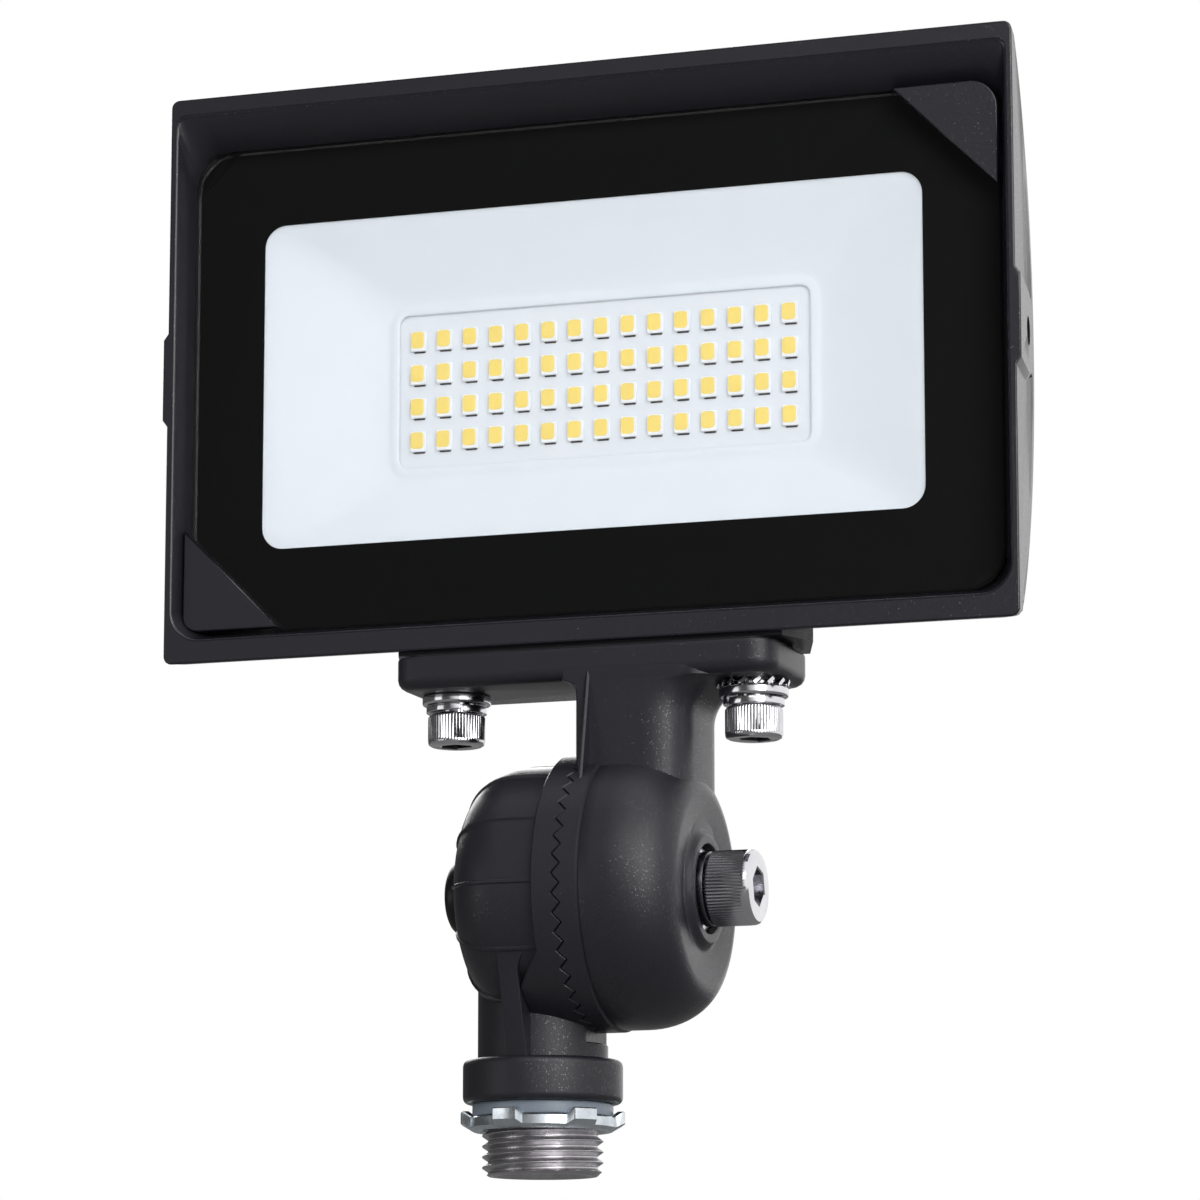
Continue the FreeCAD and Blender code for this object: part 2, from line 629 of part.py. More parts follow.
def cut_teeth(body, name, side):
    """Cut radial V grooves whose flanks all meet in the joint's centre.

    side 1 cuts the lower half, whose crests point along +X, from the top; side -1 cuts the upper half
    from the bottom. With an odd count the two sets of grooves then lie half a pitch apart and mesh.
    """
    half_pitch = 180 / d.tooth_count
    overshoot = 1.25
    sections = []
    for label, reach in (("inner", d.tooth_in_r * 0.8), ("outer", d.tooth_r + d.disc_gap)):
        root = -d.tooth_half * reach / d.tooth_r
        crest = d.tooth_half * reach / (d.tooth_r * cosine(half_pitch))
        width = reach * tangent(half_pitch) * overshoot
        opening = root + (crest - root) * overshoot
        triangle = [(root * side, 0), (opening * side, -width), (opening * side, width)]
        sections.append(sketch(body, f"{name}_{label}", "XY_Plane", [triangle], reach * side))
    groove = loft(body, "SubtractiveLoft", sections[0], sections[1])
    return ring_pattern(body, groove, "X_Axis", d.tooth_count)


def make_lower_knuckle():
    """Cup with a toothed rim, a round neck and a collar, cast in one piece."""
    body = new_body("lower_knuckle", LOWER_AT)
    axis_x = -d.joint_x
    collar = sketch(body, "collar", "XY_Plane", [("circle", axis_x, 0, d.collar_r)], COLLAR_LOCAL)
    extrude(body, "Pad", collar, d.collar_height, 1)
    break_edges(body, "collar_edges", d.collar_break, lambda edge: isinstance(edge.Curve, Part.Circle))
    neck_z = COLLAR_LOCAL + d.collar_height / 2
    neck = sketch(body, "neck", "XY_Plane", [("circle", axis_x, 0, d.neck_r)], neck_z)
    extrude(body, "Pad", neck, -neck_z - d.hub_r, 1)
    web_z = COLLAR_LOCAL + d.collar_height
    web = [
        (-d.web_foot, web_z),
        (d.web_foot, web_z),
        (d.web_head, -d.web_head_drop),
        (-d.web_head, -d.web_head_drop),
    ]
    extrude(body, "Pad", sketch(body, "web", "YZ_Plane", [web], axis_x - d.web_thick / 2), d.web_thick, 1)
    clear = sketch(body, "disc_clear", "YZ_Plane", [("circle", 0, 0, d.tooth_r + d.disc_gap)], -d.tooth_half)
    extrude(body, "Pocket", clear, d.neck_r, 1)
    round_x = d.cup_round - d.cup_depth
    round_z = CUP_R - d.cup_round
    cup = [
        (0, 0),
        (d.tooth_half, d.tooth_r),
        (-d.band_width, d.tooth_r),
        (-d.band_width, CUP_R),
        *chords(round_x, round_z, d.cup_round, (90, 120, 150, 180)),
        (-d.cup_depth, 0),
    ]
    turn_round(body, "Revolution", sketch(body, "cup", "XZ_Plane", [cup]), "H_Axis")
    rib = [
        (-d.band_width, CUP_R + d.rib_height),
        *chords(round_x, round_z, d.cup_round + d.rib_height, (90, 120, 150, 180)),
        (round_x, round_z),
        (-d.band_width, round_z),
    ]
    thin = extrude(body, "Pad", sketch(body, "rib", "XZ_Plane", [rib], -d.rib_width / 2), d.rib_width, 1)
    ring_pattern(body, thin, "X_Axis", d.rib_count)
    beyond = 2 * d.tooth_half
    chamber = [
        (-d.chamber_depth, d.hub_r),
        (-d.hub_gap, d.hub_r),
        (-d.hub_gap, 0),
        (beyond, 0),
        (beyond, d.tooth_in_r),
        (-d.chamber_depth, d.tooth_in_r),
    ]
    turn_round(body, "Groove", sketch(body, "chamber", "XZ_Plane", [chamber]), "H_Axis")
    bore = sketch(body, "bore", "YZ_Plane", [("circle", 0, 0, d.bolt_r + d.bolt_fit)], d.tooth_half)
    extrude(body, "Pocket", bore, d.cup_depth * 2, -1)
    pocket = sketch(body, "nut_pocket", "YZ_Plane", [hexagon(d.hex_nut + 2 * d.hex_nut_fit)], -NUT_FLOOR)
    extrude(body, "Pocket", pocket, d.cup_depth, -1)
    seat = [("circle", 0, 0, d.cap_flange_r + d.cap_fit)]
    cap_seat = sketch(body, "cap_seat", "YZ_Plane", seat, d.cap_flange - d.cup_depth)
    extrude(body, "Pocket", cap_seat, d.cup_depth, -1)
    socket_r = d.nipple_relief_r + d.seat_fit
    socket = sketch(body, "socket", "XY_Plane", [("circle", axis_x, 0, socket_r)], COLLAR_LOCAL)
    extrude(body, "Pocket", socket, d.nipple_seat, 1)
    way = sketch(body, "wire_way", "XY_Plane", [("circle", axis_x, 0, d.way_r)], COLLAR_LOCAL)
    extrude(body, "Pocket", way, -COLLAR_LOCAL - d.hub_r - d.rib_height * 4, 1)
    cut_teeth(body, "lower_tooth", 1)
    return body


def make_upper_knuckle():
    """Plate, neck and toothed cup with the hub boss for the pivot bolt, cast in one piece."""
    body = new_body("upper_knuckle", UPPER_AT)
    plate = centred(d.plate_half_x, d.plate_half_y, d.plate_corner)
    extrude(body, "Pad", sketch(body, "plate", "XY_Plane", [plate], d.plate_drop), d.plate_thick, 1)
    lower_edge = d.plate_drop
    break_edges(body, "plate_edges", d.plate_break, lambda edge: all_at(edge, "z", lower_edge))
    neck = [
        (-d.upper_neck_over, -d.upper_neck_y),
        (d.upper_neck_x - d.upper_neck_round, -d.upper_neck_y, d.upper_neck_round, 1),
        (d.upper_neck_x, d.upper_neck_round - d.upper_neck_y),
        (d.upper_neck_x, d.upper_neck_y - d.upper_neck_round, d.upper_neck_round, 1),
        (d.upper_neck_x - d.upper_neck_round, d.upper_neck_y),
        (-d.upper_neck_over, d.upper_neck_y),
    ]
    neck_top = d.plate_drop + d.plate_thick / 2
    extrude(body, "Pad", sketch(body, "upper_neck", "XY_Plane", [neck]), neck_top, 1)
    overlap = d.plate_break
    right = d.upper_neck_x
    left = -d.upper_neck_over
    flares = [
        [
            (right - overlap, d.plate_drop - d.flare_right),
            (right, d.plate_drop - d.flare_right, d.flare_right, -1),
            (right + d.flare_right, d.plate_drop),
            (right + d.flare_right, d.plate_drop + overlap),
            (right - overlap, d.plate_drop + overlap),
        ],
        [
            (left - d.flare_left, d.plate_drop + overlap),
            (left - d.flare_left, d.plate_drop, d.flare_left, -1),
            (left, d.plate_drop - d.flare_left),
            (left + overlap, d.plate_drop - d.flare_left),
            (left + overlap, d.plate_drop + overlap),
        ],
    ]
    extrude(body, "Pad", sketch(body, "flares", "XZ_Plane", flares, -d.flare_y), 2 * d.flare_y, 1)
    web = [
        (-d.upper_neck_y, d.plate_drop - d.plate_break),
        (-d.upper_web_reach, d.upper_web_drop),
        (d.upper_web_reach, d.upper_web_drop),
        (d.upper_neck_y, d.plate_drop - d.plate_break),
    ]
    extrude(body, "Pad", sketch(body, "upper_web", "YZ_Plane", [web], -d.upper_neck_over), d.web_thick, 1)
    clear = [("circle", 0, 0, d.tooth_r + d.disc_gap)]
    extrude(body, "Pocket", sketch(body, "upper_clear", "YZ_Plane", clear, d.tooth_half), d.plate_half_x, -1)
    boss_top = d.upper_depth + d.boss_height
    cup = [
        (0, 0),
        (boss_top, 0),
        (boss_top, d.boss_r),
        (d.upper_depth, d.boss_r),
        *chords(d.upper_depth - d.upper_round, UPPER_CUP_R - d.upper_round, d.upper_round, (0, 30, 60, 90)),
        (d.upper_band, UPPER_CUP_R),
        (d.upper_band, d.tooth_r),
        (-d.tooth_half, d.tooth_r),
    ]
    turn_round(body, "Revolution", sketch(body, "upper_cup", "XZ_Plane", [cup]), "H_Axis")
    beyond = 2 * d.tooth_half
    chamber = [
        (-beyond, 0),
        (d.hub_gap, 0),
        (d.hub_gap, d.hub_r),
        (d.upper_chamber, d.hub_r),
        (d.upper_chamber, d.tooth_in_r),
        (-beyond, d.tooth_in_r),
    ]
    turn_round(body, "Groove", sketch(body, "upper_chamber", "XZ_Plane", [chamber]), "H_Axis")
    bore = sketch(body, "upper_bore", "YZ_Plane", [("circle", 0, 0, d.bolt_r + d.bolt_fit)], -d.tooth_half)
    extrude(body, "Pocket", bore, boss_top * 2, 1)
    recess = sketch(body, "recess", "YZ_Plane", [("circle", 0, 0, d.recess_r)], BEARING)
    extrude(body, "Pocket", recess, d.recess_depth * 2, 1)
    slot_left = d.slot_x - d.slot_half_x
    slot_right = d.slot_x + d.slot_half_x
    slot = rounded(slot_left, -d.slot_half_y, slot_right, d.slot_half_y, d.slot_half_x / 2)
    top = d.plate_drop + d.plate_thick
    extrude(body, "Pocket", sketch(body, "wire_slot", "XY_Plane", [slot], d.slot_foot), top, 1)
    holes = [("circle", side * d.screw_x, 0, d.screw_r + d.screw_fit) for side in (-1, 1)]
    plate_holes = sketch(body, "plate_holes", "XY_Plane", holes, d.plate_drop)
    extrude(body, "Pocket", plate_holes, d.plate_thick * 2, 1)
    cut_teeth(body, "upper_tooth", -1)
    return body


def tube(name, at, axis, outer, inner, length):
    """Washer or sleeve along an axis."""
    body = new_body(name, at)
    plane = {"X": "YZ_Plane", "Z": "XY_Plane"}[axis]
    loops = [("circle", 0, 0, outer), ("circle", 0, 0, inner)]
    extrude(body, "Pad", sketch(body, f"{name}_ring", plane, loops), length, 1)
    return body


def split(body, name, axis, outer, inner, length):
    """Cut the open joint of a spring washer, slanted across its thickness."""
    middle = (outer + inner) / 2
    half = d.split_width / 2
    slant = length / 4
    profile = [(-half - slant, -length / 2), (half - slant, -length / 2), (half + slant, length * 1.5),
               (slant - half, length * 1.5)]
    if axis == "X":
        profile = [(up, across) for across, up in profile]
    cutter = sketch(body, f"{name}_split", "XZ_Plane", [profile], inner - (middle - inner))
    extrude(body, "Pocket", cutter, 2 * (outer - inner), 1)


def cap_screw(name, at, axis, toward, radius, length, head_r, head, socket, socket_depth):
    """Socket head cap screw: its bearing face stands at the given point, its head lies toward the axis."""
    body = new_body(name, at)
    plane = {"X": "YZ_Plane", "Z": "XY_Plane"}[axis]
    extrude(body, "Pad", sketch(body, f"{name}_head", plane, [("circle", 0, 0, head_r)]), head, toward)
    extrude(body, "Pad", sketch(body, f"{name}_shank", plane, [("circle", 0, 0, radius)]), length, -toward)
    key = sketch(body, f"{name}_socket", plane, [hexagon(socket)], (head - socket_depth) * toward)
    extrude(body, "Pocket", key, head, toward)
    return body


def group(name, pieces):
    """Identical fasteners kept together in one node."""
    bundle = doc.addObject("Part::Compound", name)
    bundle.Label = name
    bundle.Links = pieces
    return bundle


def make_pivot():
    """Pivot bolt with its washers, the captive nut and the cap over it."""
    bearing_x = UPPER_X + BEARING
    washer_in = d.bolt_r + d.washer_fit
    flat_at = (bearing_x, 0, d.pivot_z)
    flat = tube("pivot_flat_washer", flat_at, "X", d.bolt_washer_r, washer_in, d.bolt_washer)
    spring_x = bearing_x + d.bolt_washer
    spring_at = (spring_x, 0, d.pivot_z)
    spring = tube("pivot_spring_washer", spring_at, "X", d.bolt_spring_r, washer_in, d.bolt_spring)
    split(spring, "pivot_spring", "X", d.bolt_spring_r, washer_in, d.bolt_spring)
    bolt = cap_screw("pivot_bolt", (spring_x + d.bolt_spring, 0, d.pivot_z), "X", 1, d.bolt_r, d.bolt_length,
                     d.bolt_head_r, d.bolt_head, d.bolt_socket, d.bolt_socket_depth)
    nut = new_body("pivot_nut", (d.joint_x - NUT_FLOOR, 0, d.pivot_z))
    loops = [hexagon(d.hex_nut), ("circle", 0, 0, d.bolt_r + d.bolt_fit)]
    extrude(nut, "Pad", sketch(nut, "hex", "YZ_Plane", loops), d.hex_nut_height, -1)
    cap = new_body("nut_cap", (d.joint_x - d.cup_depth, 0, d.pivot_z))
    profile = [
        (d.cap_flange, d.cap_hole_r),
        (d.cap_flange, d.cap_flange_r),
        (0, d.cap_flange_r),
        (0, d.cap_r),
        *chords(d.cap_round - d.cap_height, d.cap_r - d.cap_round, d.cap_round, (90, 135, 180)),
        (-d.cap_height, 0),
        (d.cap_wall - d.cap_height, 0),
        (d.cap_wall - d.cap_height, d.cap_hole_r),
    ]
    turn_round(cap, "Revolution", sketch(cap, "cap_profile", "XZ_Plane", [profile]), "H_Axis")
    return [flat, spring, bolt, nut, cap]


def make_tooth_lock_washer(at):
    """Ring with external teeth, each twisted out of the sheet."""
    body = new_body("tooth_lock_washer", at)
    sheet_z = (d.star_height - d.star_thick) / 2
    loops = [("circle", 0, 0, d.star_ring_r), ("circle", 0, 0, d.screw_r + d.washer_fit)]
    extrude(body, "Pad", sketch(body, "star_ring", "XY_Plane", loops, sheet_z), d.star_thick, 1)
    half = d.star_tooth / 2
    blade = [
        (-half, 0),
        (d.star_thick - half, 0),
        (half, d.star_height - d.star_thick),
        (half, d.star_height),
        (half - d.star_thick, d.star_height),
        (-half, d.star_thick),
    ]
    root = d.star_ring_r - d.star_thick
    tooth = extrude(body, "Pad", sketch(body, "star_tooth", "YZ_Plane", [blade], root), d.star_r - root, 1)
    ring_pattern(body, tooth, "Z_Axis", d.star_count)
    return body


def make_plate_fasteners():
    """Two screws with washers under the plate; the right-hand one has a tooth lock washer as well."""
    washer_in = d.screw_r + d.washer_fit
    star_z = PLATE_Z - d.star_height
    star = make_tooth_lock_washer((UPPER_X + d.screw_x, 0, star_z))
    flats = []
    springs = []
    screws = []
    for side, label, seat in ((-1, "left", PLATE_Z), (1, "right", star_z)):
        place_x = UPPER_X + side * d.screw_x
        flat_z = seat - d.screw_washer
        spring_z = flat_z - d.screw_spring
        flat_at = (place_x, 0, flat_z)
        flats.append(tube(f"flat_{label}", flat_at, "Z", d.screw_washer_r, washer_in, d.screw_washer))
        spring_at = (place_x, 0, spring_z)
        spring = tube(f"spring_{label}", spring_at, "Z", d.screw_spring_r, washer_in, d.screw_spring)
        split(spring, f"spring_{label}", "Z", d.screw_spring_r, washer_in, d.screw_spring)
        springs.append(spring)
        screws.append(cap_screw(f"screw_{label}", (place_x, 0, spring_z), "Z", -1, d.screw_r, d.screw_length,
                                d.screw_head_r, d.screw_head, d.screw_socket, d.screw_socket_depth))
    return [star, group("plate_flat_washers", flats), group("plate_spring_washers", springs),
            group("plate_screws", screws)]


def make_plate_seal():
    """Sheet gasket with the wire opening and two screw holes."""
    body = new_body("plate_seal", (UPPER_X, 0, SEAL_Z))
    inset = d.seal_inset
    outline = centred(d.plate_half_x - inset, d.plate_half_y - inset, d.plate_corner - inset)
    slot = rounded(d.slot_x - d.slot_half_x, -d.slot_half_y, d.slot_x + d.slot_half_x, d.slot_half_y,
                   d.slot_half_x / 2)
    holes = [("circle", side * d.screw_x, 0, d.screw_r + d.screw_fit) for side in (-1, 1)]
    extrude(body, "Pad", sketch(body, "seal_outline", "XY_Plane", [outline, slot] + holes), d.seal_thick, 1)
    return body


def glass_outline():
    """Glass edge: two rounded corners and two cut corners under the clamps."""
    half = d.glass_width / 2
    low = OPTIC_Z - d.glass_height / 2
    high = OPTIC_Z + d.glass_height / 2
    return [
        (d.glass_bevel - half, low),
        (half - d.glass_corner, low, d.glass_corner, 1),
        (half, low + d.glass_corner),
        (half, high - d.glass_bevel),
        (half - d.glass_bevel, high),
        (d.glass_corner - half, high, d.glass_corner, 1),
        (-half, high - d.glass_corner),
        (-half, low + d.glass_bevel),
    ]


def window_outline():
    """Clear window in the printed border."""
    return centred(WINDOW_X, WINDOW_Z, d.window_corner, OPTIC_Z)


def glass_opening(depth_name, body, shift):
    """Sketch of the pocket that holds the glass, at a depth behind the rim's front."""
    half_x = d.glass_width / 2 + d.glass_fit
    half_z = d.glass_height / 2 + d.glass_fit
    return sketch(body, depth_name, "XZ_Plane", [centred(half_x, half_z, d.rim_corner, OPTIC_Z)], shift)


def make_housing():
    """Die-cast head: drafted sides with a curved back, a finned core, side lugs and a pedestal."""
    body = new_body("housing", HEAD_AT)
    half_x = HEAD_WIDTH / 2
    half_z = HEAD_HEIGHT / 2
    depth = d.rim_lip + d.back_bulge
    front = centred(half_x, half_z, d.head_corner)
    extrude(body, "Pad", sketch(body, "front", "XZ_Plane", [front]), depth, 1, -d.side_draft)
    lug_face = half_x + d.lug_proud
    lug = [
        (0, -d.lug_half),
        (d.lug_hole_depth, -d.lug_half, d.lug_half, 1),
        (d.lug_hole_depth + d.lug_half, 0, d.lug_half, 1),
        (d.lug_hole_depth, d.lug_half),
        (0, d.lug_half),
    ]
    extrude(body, "Pad", sketch(body, "lug", "YZ_Plane", [lug], -lug_face), 2 * lug_face, 1)
    far = 2 * depth
    drafted = lug_face - far * tangent(d.lug_draft)
    trims = [
        [(lug_face, 0), (lug_face + far, 0), (lug_face + far, far), (drafted, far)],
        [(-lug_face, 0), (-drafted, far), (-lug_face - far, far), (-lug_face - far, 0)],
    ]
    extrude(body, "Pocket", sketch(body, "lug_faces", "XY_Plane", trims, -d.lug_half * 2), d.lug_half * 4, 1)
    over = d.rim_lip
    inside_walls = half_x - depth * tangent(d.side_draft) - d.side_wall
    backs = (("wall_back", d.back_bulge, half_x + over), ("body_back", d.body_bulge, inside_walls))
    for label, rise, reach in backs:
        behind = [
            (d.rim_lip, -half_z, rise_radius(half_z, rise), 1),
            (d.rim_lip, half_z),
            (d.rim_lip, half_z + over),
            (far, half_z + over),
            (far, -half_z - over),
            (d.rim_lip, -half_z - over),
        ]
        extrude(body, "Pocket", sketch(body, label, "YZ_Plane", [behind], -reach), 2 * reach, 1)
    core_x = half_x - d.core_inset
    core_z = half_z - d.core_top
    core = [
        (d.rim_lip / 2, -core_z),
        *bulge(d.core_edge, core_z, d.core_bulge, BACK_STEPS),
        (d.rim_lip / 2, core_z),
    ]
    extrude(body, "Pad", sketch(body, "core", "YZ_Plane", [core], -core_x), 2 * core_x, 1)
    pedestal = [
        (d.pedestal_bevel_x - d.pedestal_half, d.pedestal_front),
        (d.pedestal_half - d.pedestal_bevel_x, d.pedestal_front),
        (d.pedestal_half, d.pedestal_front + d.pedestal_bevel_y),
        (d.pedestal_half - d.pedestal_taper, d.pedestal_back),
        (d.pedestal_taper - d.pedestal_half, d.pedestal_back),
        (-d.pedestal_half, d.pedestal_front + d.pedestal_bevel_y),
    ]
    rise = d.pedestal_rise + d.pad_lift
    extrude(body, "Pad", sketch(body, "pedestal", "XY_Plane", [pedestal], PAD_LOCAL), rise, 1)
    slope = [
        (d.pedestal_back, PAD_LOCAL + d.pedestal_wall),
        (far, PAD_LOCAL + d.pedestal_wall),
        (far, PAD_LOCAL + rise + over),
        (d.pedestal_top, PAD_LOCAL + rise + over),
        (d.pedestal_top, PAD_LOCAL + rise),
    ]
    pedestal_slope = sketch(body, "pedestal_slope", "YZ_Plane", [slope], -d.pedestal_half)
    extrude(body, "Pocket", pedestal_slope, 2 * d.pedestal_half, 1)
    fin_half = half_z - d.fin_margin
    fin = bulge(d.fin_root, fin_half, d.fin_bulge, BACK_STEPS)
    first_fin = -d.fin_pitch * (d.fin_count - 1) / 2 - d.fin_thick / 2
    fin_pad = extrude(body, "Pad", sketch(body, "fin", "YZ_Plane", [fin], first_fin), d.fin_thick, 1)
    row_pattern(body, fin_pad, "X_Axis", d.fin_count, d.fin_pitch)
    mouth_x = half_x - d.rim_side
    opening = rounded(-mouth_x, d.rim_bottom - half_z, mouth_x, half_z - d.rim_top, d.rim_corner)
    mouth = sketch(body, "mouth", "XZ_Plane", [opening])
    loft(body, "SubtractiveLoft", mouth, glass_opening("mouth_end", body, d.glass_front))
    seat = glass_opening("glass_seat", body, d.glass_front)
    extrude(body, "Pocket", seat, LEDGE - d.glass_front, 1)
    cavity = centred(CAVITY_X, CAVITY_Z, d.cavity_corner, OPTIC_Z)
    floor_x = d.board_half_x + d.floor_margin
    floor_z = d.board_half_z + d.floor_margin
    floor = centred(floor_x, floor_z, d.floor_margin * 2, ENGINE_Z)
    loft(body, "SubtractiveLoft", sketch(body, "cavity", "XZ_Plane", [cavity], LEDGE),
         sketch(body, "floor", "XZ_Plane", [floor], FLOOR))
    post_holes = sketch(body, "post_holes", "XZ_Plane", post_circles(d.post_fit), LEDGE)
    extrude(body, "Pocket", post_holes, d.post_seat, 1)
    screw_holes = [("circle", x, z, d.board_screw_r + d.board_screw_fit) for x, z in board_screw_places()]
    screw_depth = d.board_screw_length - d.board_thick - d.pad_thick
    extrude(body, "Pocket", sketch(body, "board_holes", "XZ_Plane", screw_holes, FLOOR), screw_depth, 1)
    lug_hole = [("circle", d.lug_hole_depth, 0, d.thread_r)]
    for side, label in ((-1, "left"), (1, "right")):
        hole = sketch(body, f"lug_hole_{label}", "YZ_Plane", lug_hole, side * lug_face)
        extrude(body, "Pocket", hole, d.lug_thread + d.lug_hole_depth * tangent(d.lug_draft), -side)
    pad_holes = [("circle", side * d.screw_x, d.rim_reach, d.tap_relief) for side in (-1, 1)]
    extrude(body, "Pocket", sketch(body, "pad_holes", "XY_Plane", pad_holes, PAD_LOCAL), d.pad_hole_depth, 1)
    wire_hole = [("circle", d.slot_x, d.rim_reach, d.wire_hole_r)]
    extrude(body, "Pocket", sketch(body, "wire_hole", "XY_Plane", wire_hole, PAD_LOCAL), d.wire_hole_rise, 1)
    return body


def post_circles(fit):
    """Circles for the two clamp posts, in opposite glass corners."""
    across = d.glass_width / 2 - d.post_inset
    up = d.glass_height / 2 - d.post_inset
    return [("circle", side * across, OPTIC_Z + side * up, d.post_r + fit) for side in (-1, 1)]


def board_screw_places():
    """Middle points of the four board screws."""
    across = d.board_half_x - d.board_screw_side
    up = d.board_half_z - d.board_screw_edge
    return [(x * across, ENGINE_Z + z * up) for x in (-1, 1) for z in (-1, 1)]


def make_glass():
    """Flat glass, its printed border and its gasket."""
    glass = new_body("front_glass", HEAD_AT)
    glass_edge = sketch(glass, "glass_edge", "XZ_Plane", [glass_outline()], d.glass_front)
    extrude(glass, "Pad", glass_edge, d.glass_thick, 1)
    border = new_body("glass_border", HEAD_AT)
    loops = [glass_outline(), window_outline()]
    extrude(border, "Pad", sketch(border, "border", "XZ_Plane", loops, GLASS_BACK), d.print_thick, 1)
    gasket = new_body("glass_gasket", HEAD_AT)
    half_x = d.glass_width / 2
    half_z = d.glass_height / 2
    outer = centred(half_x, half_z, d.rim_corner, OPTIC_Z)
    width = d.gasket_width
    inner = centred(half_x - width, half_z - width, d.rim_corner - width, OPTIC_Z)
    extrude(gasket, "Pad", sketch(gasket, "frame", "XZ_Plane", [outer, inner], PRINT_BACK), d.gasket_thick, 1)
    return [glass, border, gasket]


def make_clamp(name, side):
    """Triangular clamp over a cut glass corner, with a post into the housing."""
    body = new_body(name, HEAD_AT)
    corner_x = side * d.glass_width / 2
    corner_z = OPTIC_Z + side * d.glass_height / 2
    outline = [
        (corner_x - side * d.clamp_leg, corner_z),
        (corner_x - side * d.clamp_round, corner_z, d.clamp_round, -1),
        (corner_x, corner_z - side * d.clamp_round),
        (corner_x, corner_z - side * d.clamp_leg),
    ]
    face = d.glass_front - d.clamp_thick
    extrude(body, "Pad", sketch(body, f"{name}_face", "XZ_Plane", [outline], face), d.clamp_thick, 1)
    post = post_circles(0)[0 if side < 0 else 1]
    foot = LEDGE + d.post_seat - d.glass_front
    extrude(body, "Pad", sketch(body, f"{name}_post", "XZ_Plane", [post], d.glass_front), foot, 1)
    return body


def make_reflector():
    """White tray: flange behind the print, sloped sides, a floor on the board and a raised lip."""
    body = new_body("reflector", HEAD_AT)
    floor_x = d.lip_half_x + d.lip_width
    floor_z = d.lip_half_z + d.lip_width
    floor_r = d.lip_corner + d.lip_width
    flange = centred(CAVITY_X - d.tray_gap_x, CAVITY_Z - d.tray_gap_z, d.cavity_corner, OPTIC_Z)
    extrude(body, "Pad", sketch(body, "flange", "XZ_Plane", [flange], PRINT_BACK), d.tray_flange, 1)
    wall = d.tray_wall
    slope_top = centred(WINDOW_X + wall, WINDOW_Z + wall, d.window_corner + wall, OPTIC_Z)
    slope_foot = centred(floor_x + wall, floor_z + wall, floor_r + wall, ENGINE_Z)
    loft(body, "AdditiveLoft",
         sketch(body, "slope_top", "XZ_Plane", [slope_top], PRINT_BACK + d.tray_flange / 2),
         sketch(body, "slope_foot", "XZ_Plane", [slope_foot], d.board_front))
    floor_front = d.board_front - d.floor_thick
    inside = [
        sketch(body, "inner_top", "XZ_Plane", [window_outline()], PRINT_BACK),
        sketch(body, "inner_foot", "XZ_Plane", [centred(floor_x, floor_z, floor_r, ENGINE_Z)], floor_front),
    ]
    loft(body, "SubtractiveLoft", inside[0], inside[1])
    lip = [centred(floor_x, floor_z, floor_r, ENGINE_Z)]
    lip_front = floor_front - d.lip_rise
    extrude(body, "Pad", sketch(body, "lip", "XZ_Plane", lip, lip_front), d.lip_rise + d.floor_thick / 2, 1)
    hole = [centred(d.lip_half_x, d.lip_half_z, d.lip_corner, ENGINE_Z)]
    extrude(body, "Pocket", sketch(body, "lip_hole", "XZ_Plane", hole, lip_front - d.lip_rise),
            d.board_front - lip_front + 2 * d.lip_rise, 1)
    return body


def make_board():
    """Board with its screws, chips and the thermal pad under it."""
    outline = plain(-d.board_half_x, ENGINE_Z - d.board_half_z, d.board_half_x, ENGINE_Z + d.board_half_z)
    holes = [("circle", x, z, d.board_screw_r + d.board_screw_fit) for x, z in board_screw_places()]
    board = new_body("led_board", HEAD_AT)
    board_edge = sketch(board, "board", "XZ_Plane", [outline] + holes, d.board_front)
    extrude(board, "Pad", board_edge, d.board_thick, 1)
    pad = new_body("thermal_pad", HEAD_AT)
    pad_z = d.board_front + d.board_thick
    extrude(pad, "Pad", sketch(pad, "pad", "XZ_Plane", [outline] + holes, pad_z), d.pad_thick, 1)
    screws = []
    for number, (x, z) in enumerate(board_screw_places(), start=1):
        screw = new_body(f"board_screw_{number}", HEAD_AT)
        head_edge = [("circle", x, z, d.board_screw_head_r)]
        head = sketch(screw, f"screw_head_{number}", "XZ_Plane", head_edge, d.board_front)
        extrude(screw, "Pad", head, d.board_screw_head, -1)
        shank_edge = [("circle", x, z, d.board_screw_r)]
        shank = sketch(screw, f"screw_shank_{number}", "XZ_Plane", shank_edge, d.board_front)
        extrude(screw, "Pad", shank, d.board_screw_length, 1)
        screws.append(screw)
    chips = new_body("board_regulators", HEAD_AT)
    half_w = d.chip_width / 2
    half_h = d.chip_height / 2
    loops = []
    for side in (-1, 1):
        for step in (-0.5, 0.5):
            x = side * (d.board_half_x - d.chip_side)
            z = ENGINE_Z + step * d.chip_pitch
            loops.append(plain(x - half_w, z - half_h, x + half_w, z + half_h))
    extrude(chips, "Pad", sketch(chips, "chips", "XZ_Plane", loops, d.board_front), d.chip_thick, -1)
    return [board, pad, group("board_screws", screws), chips]


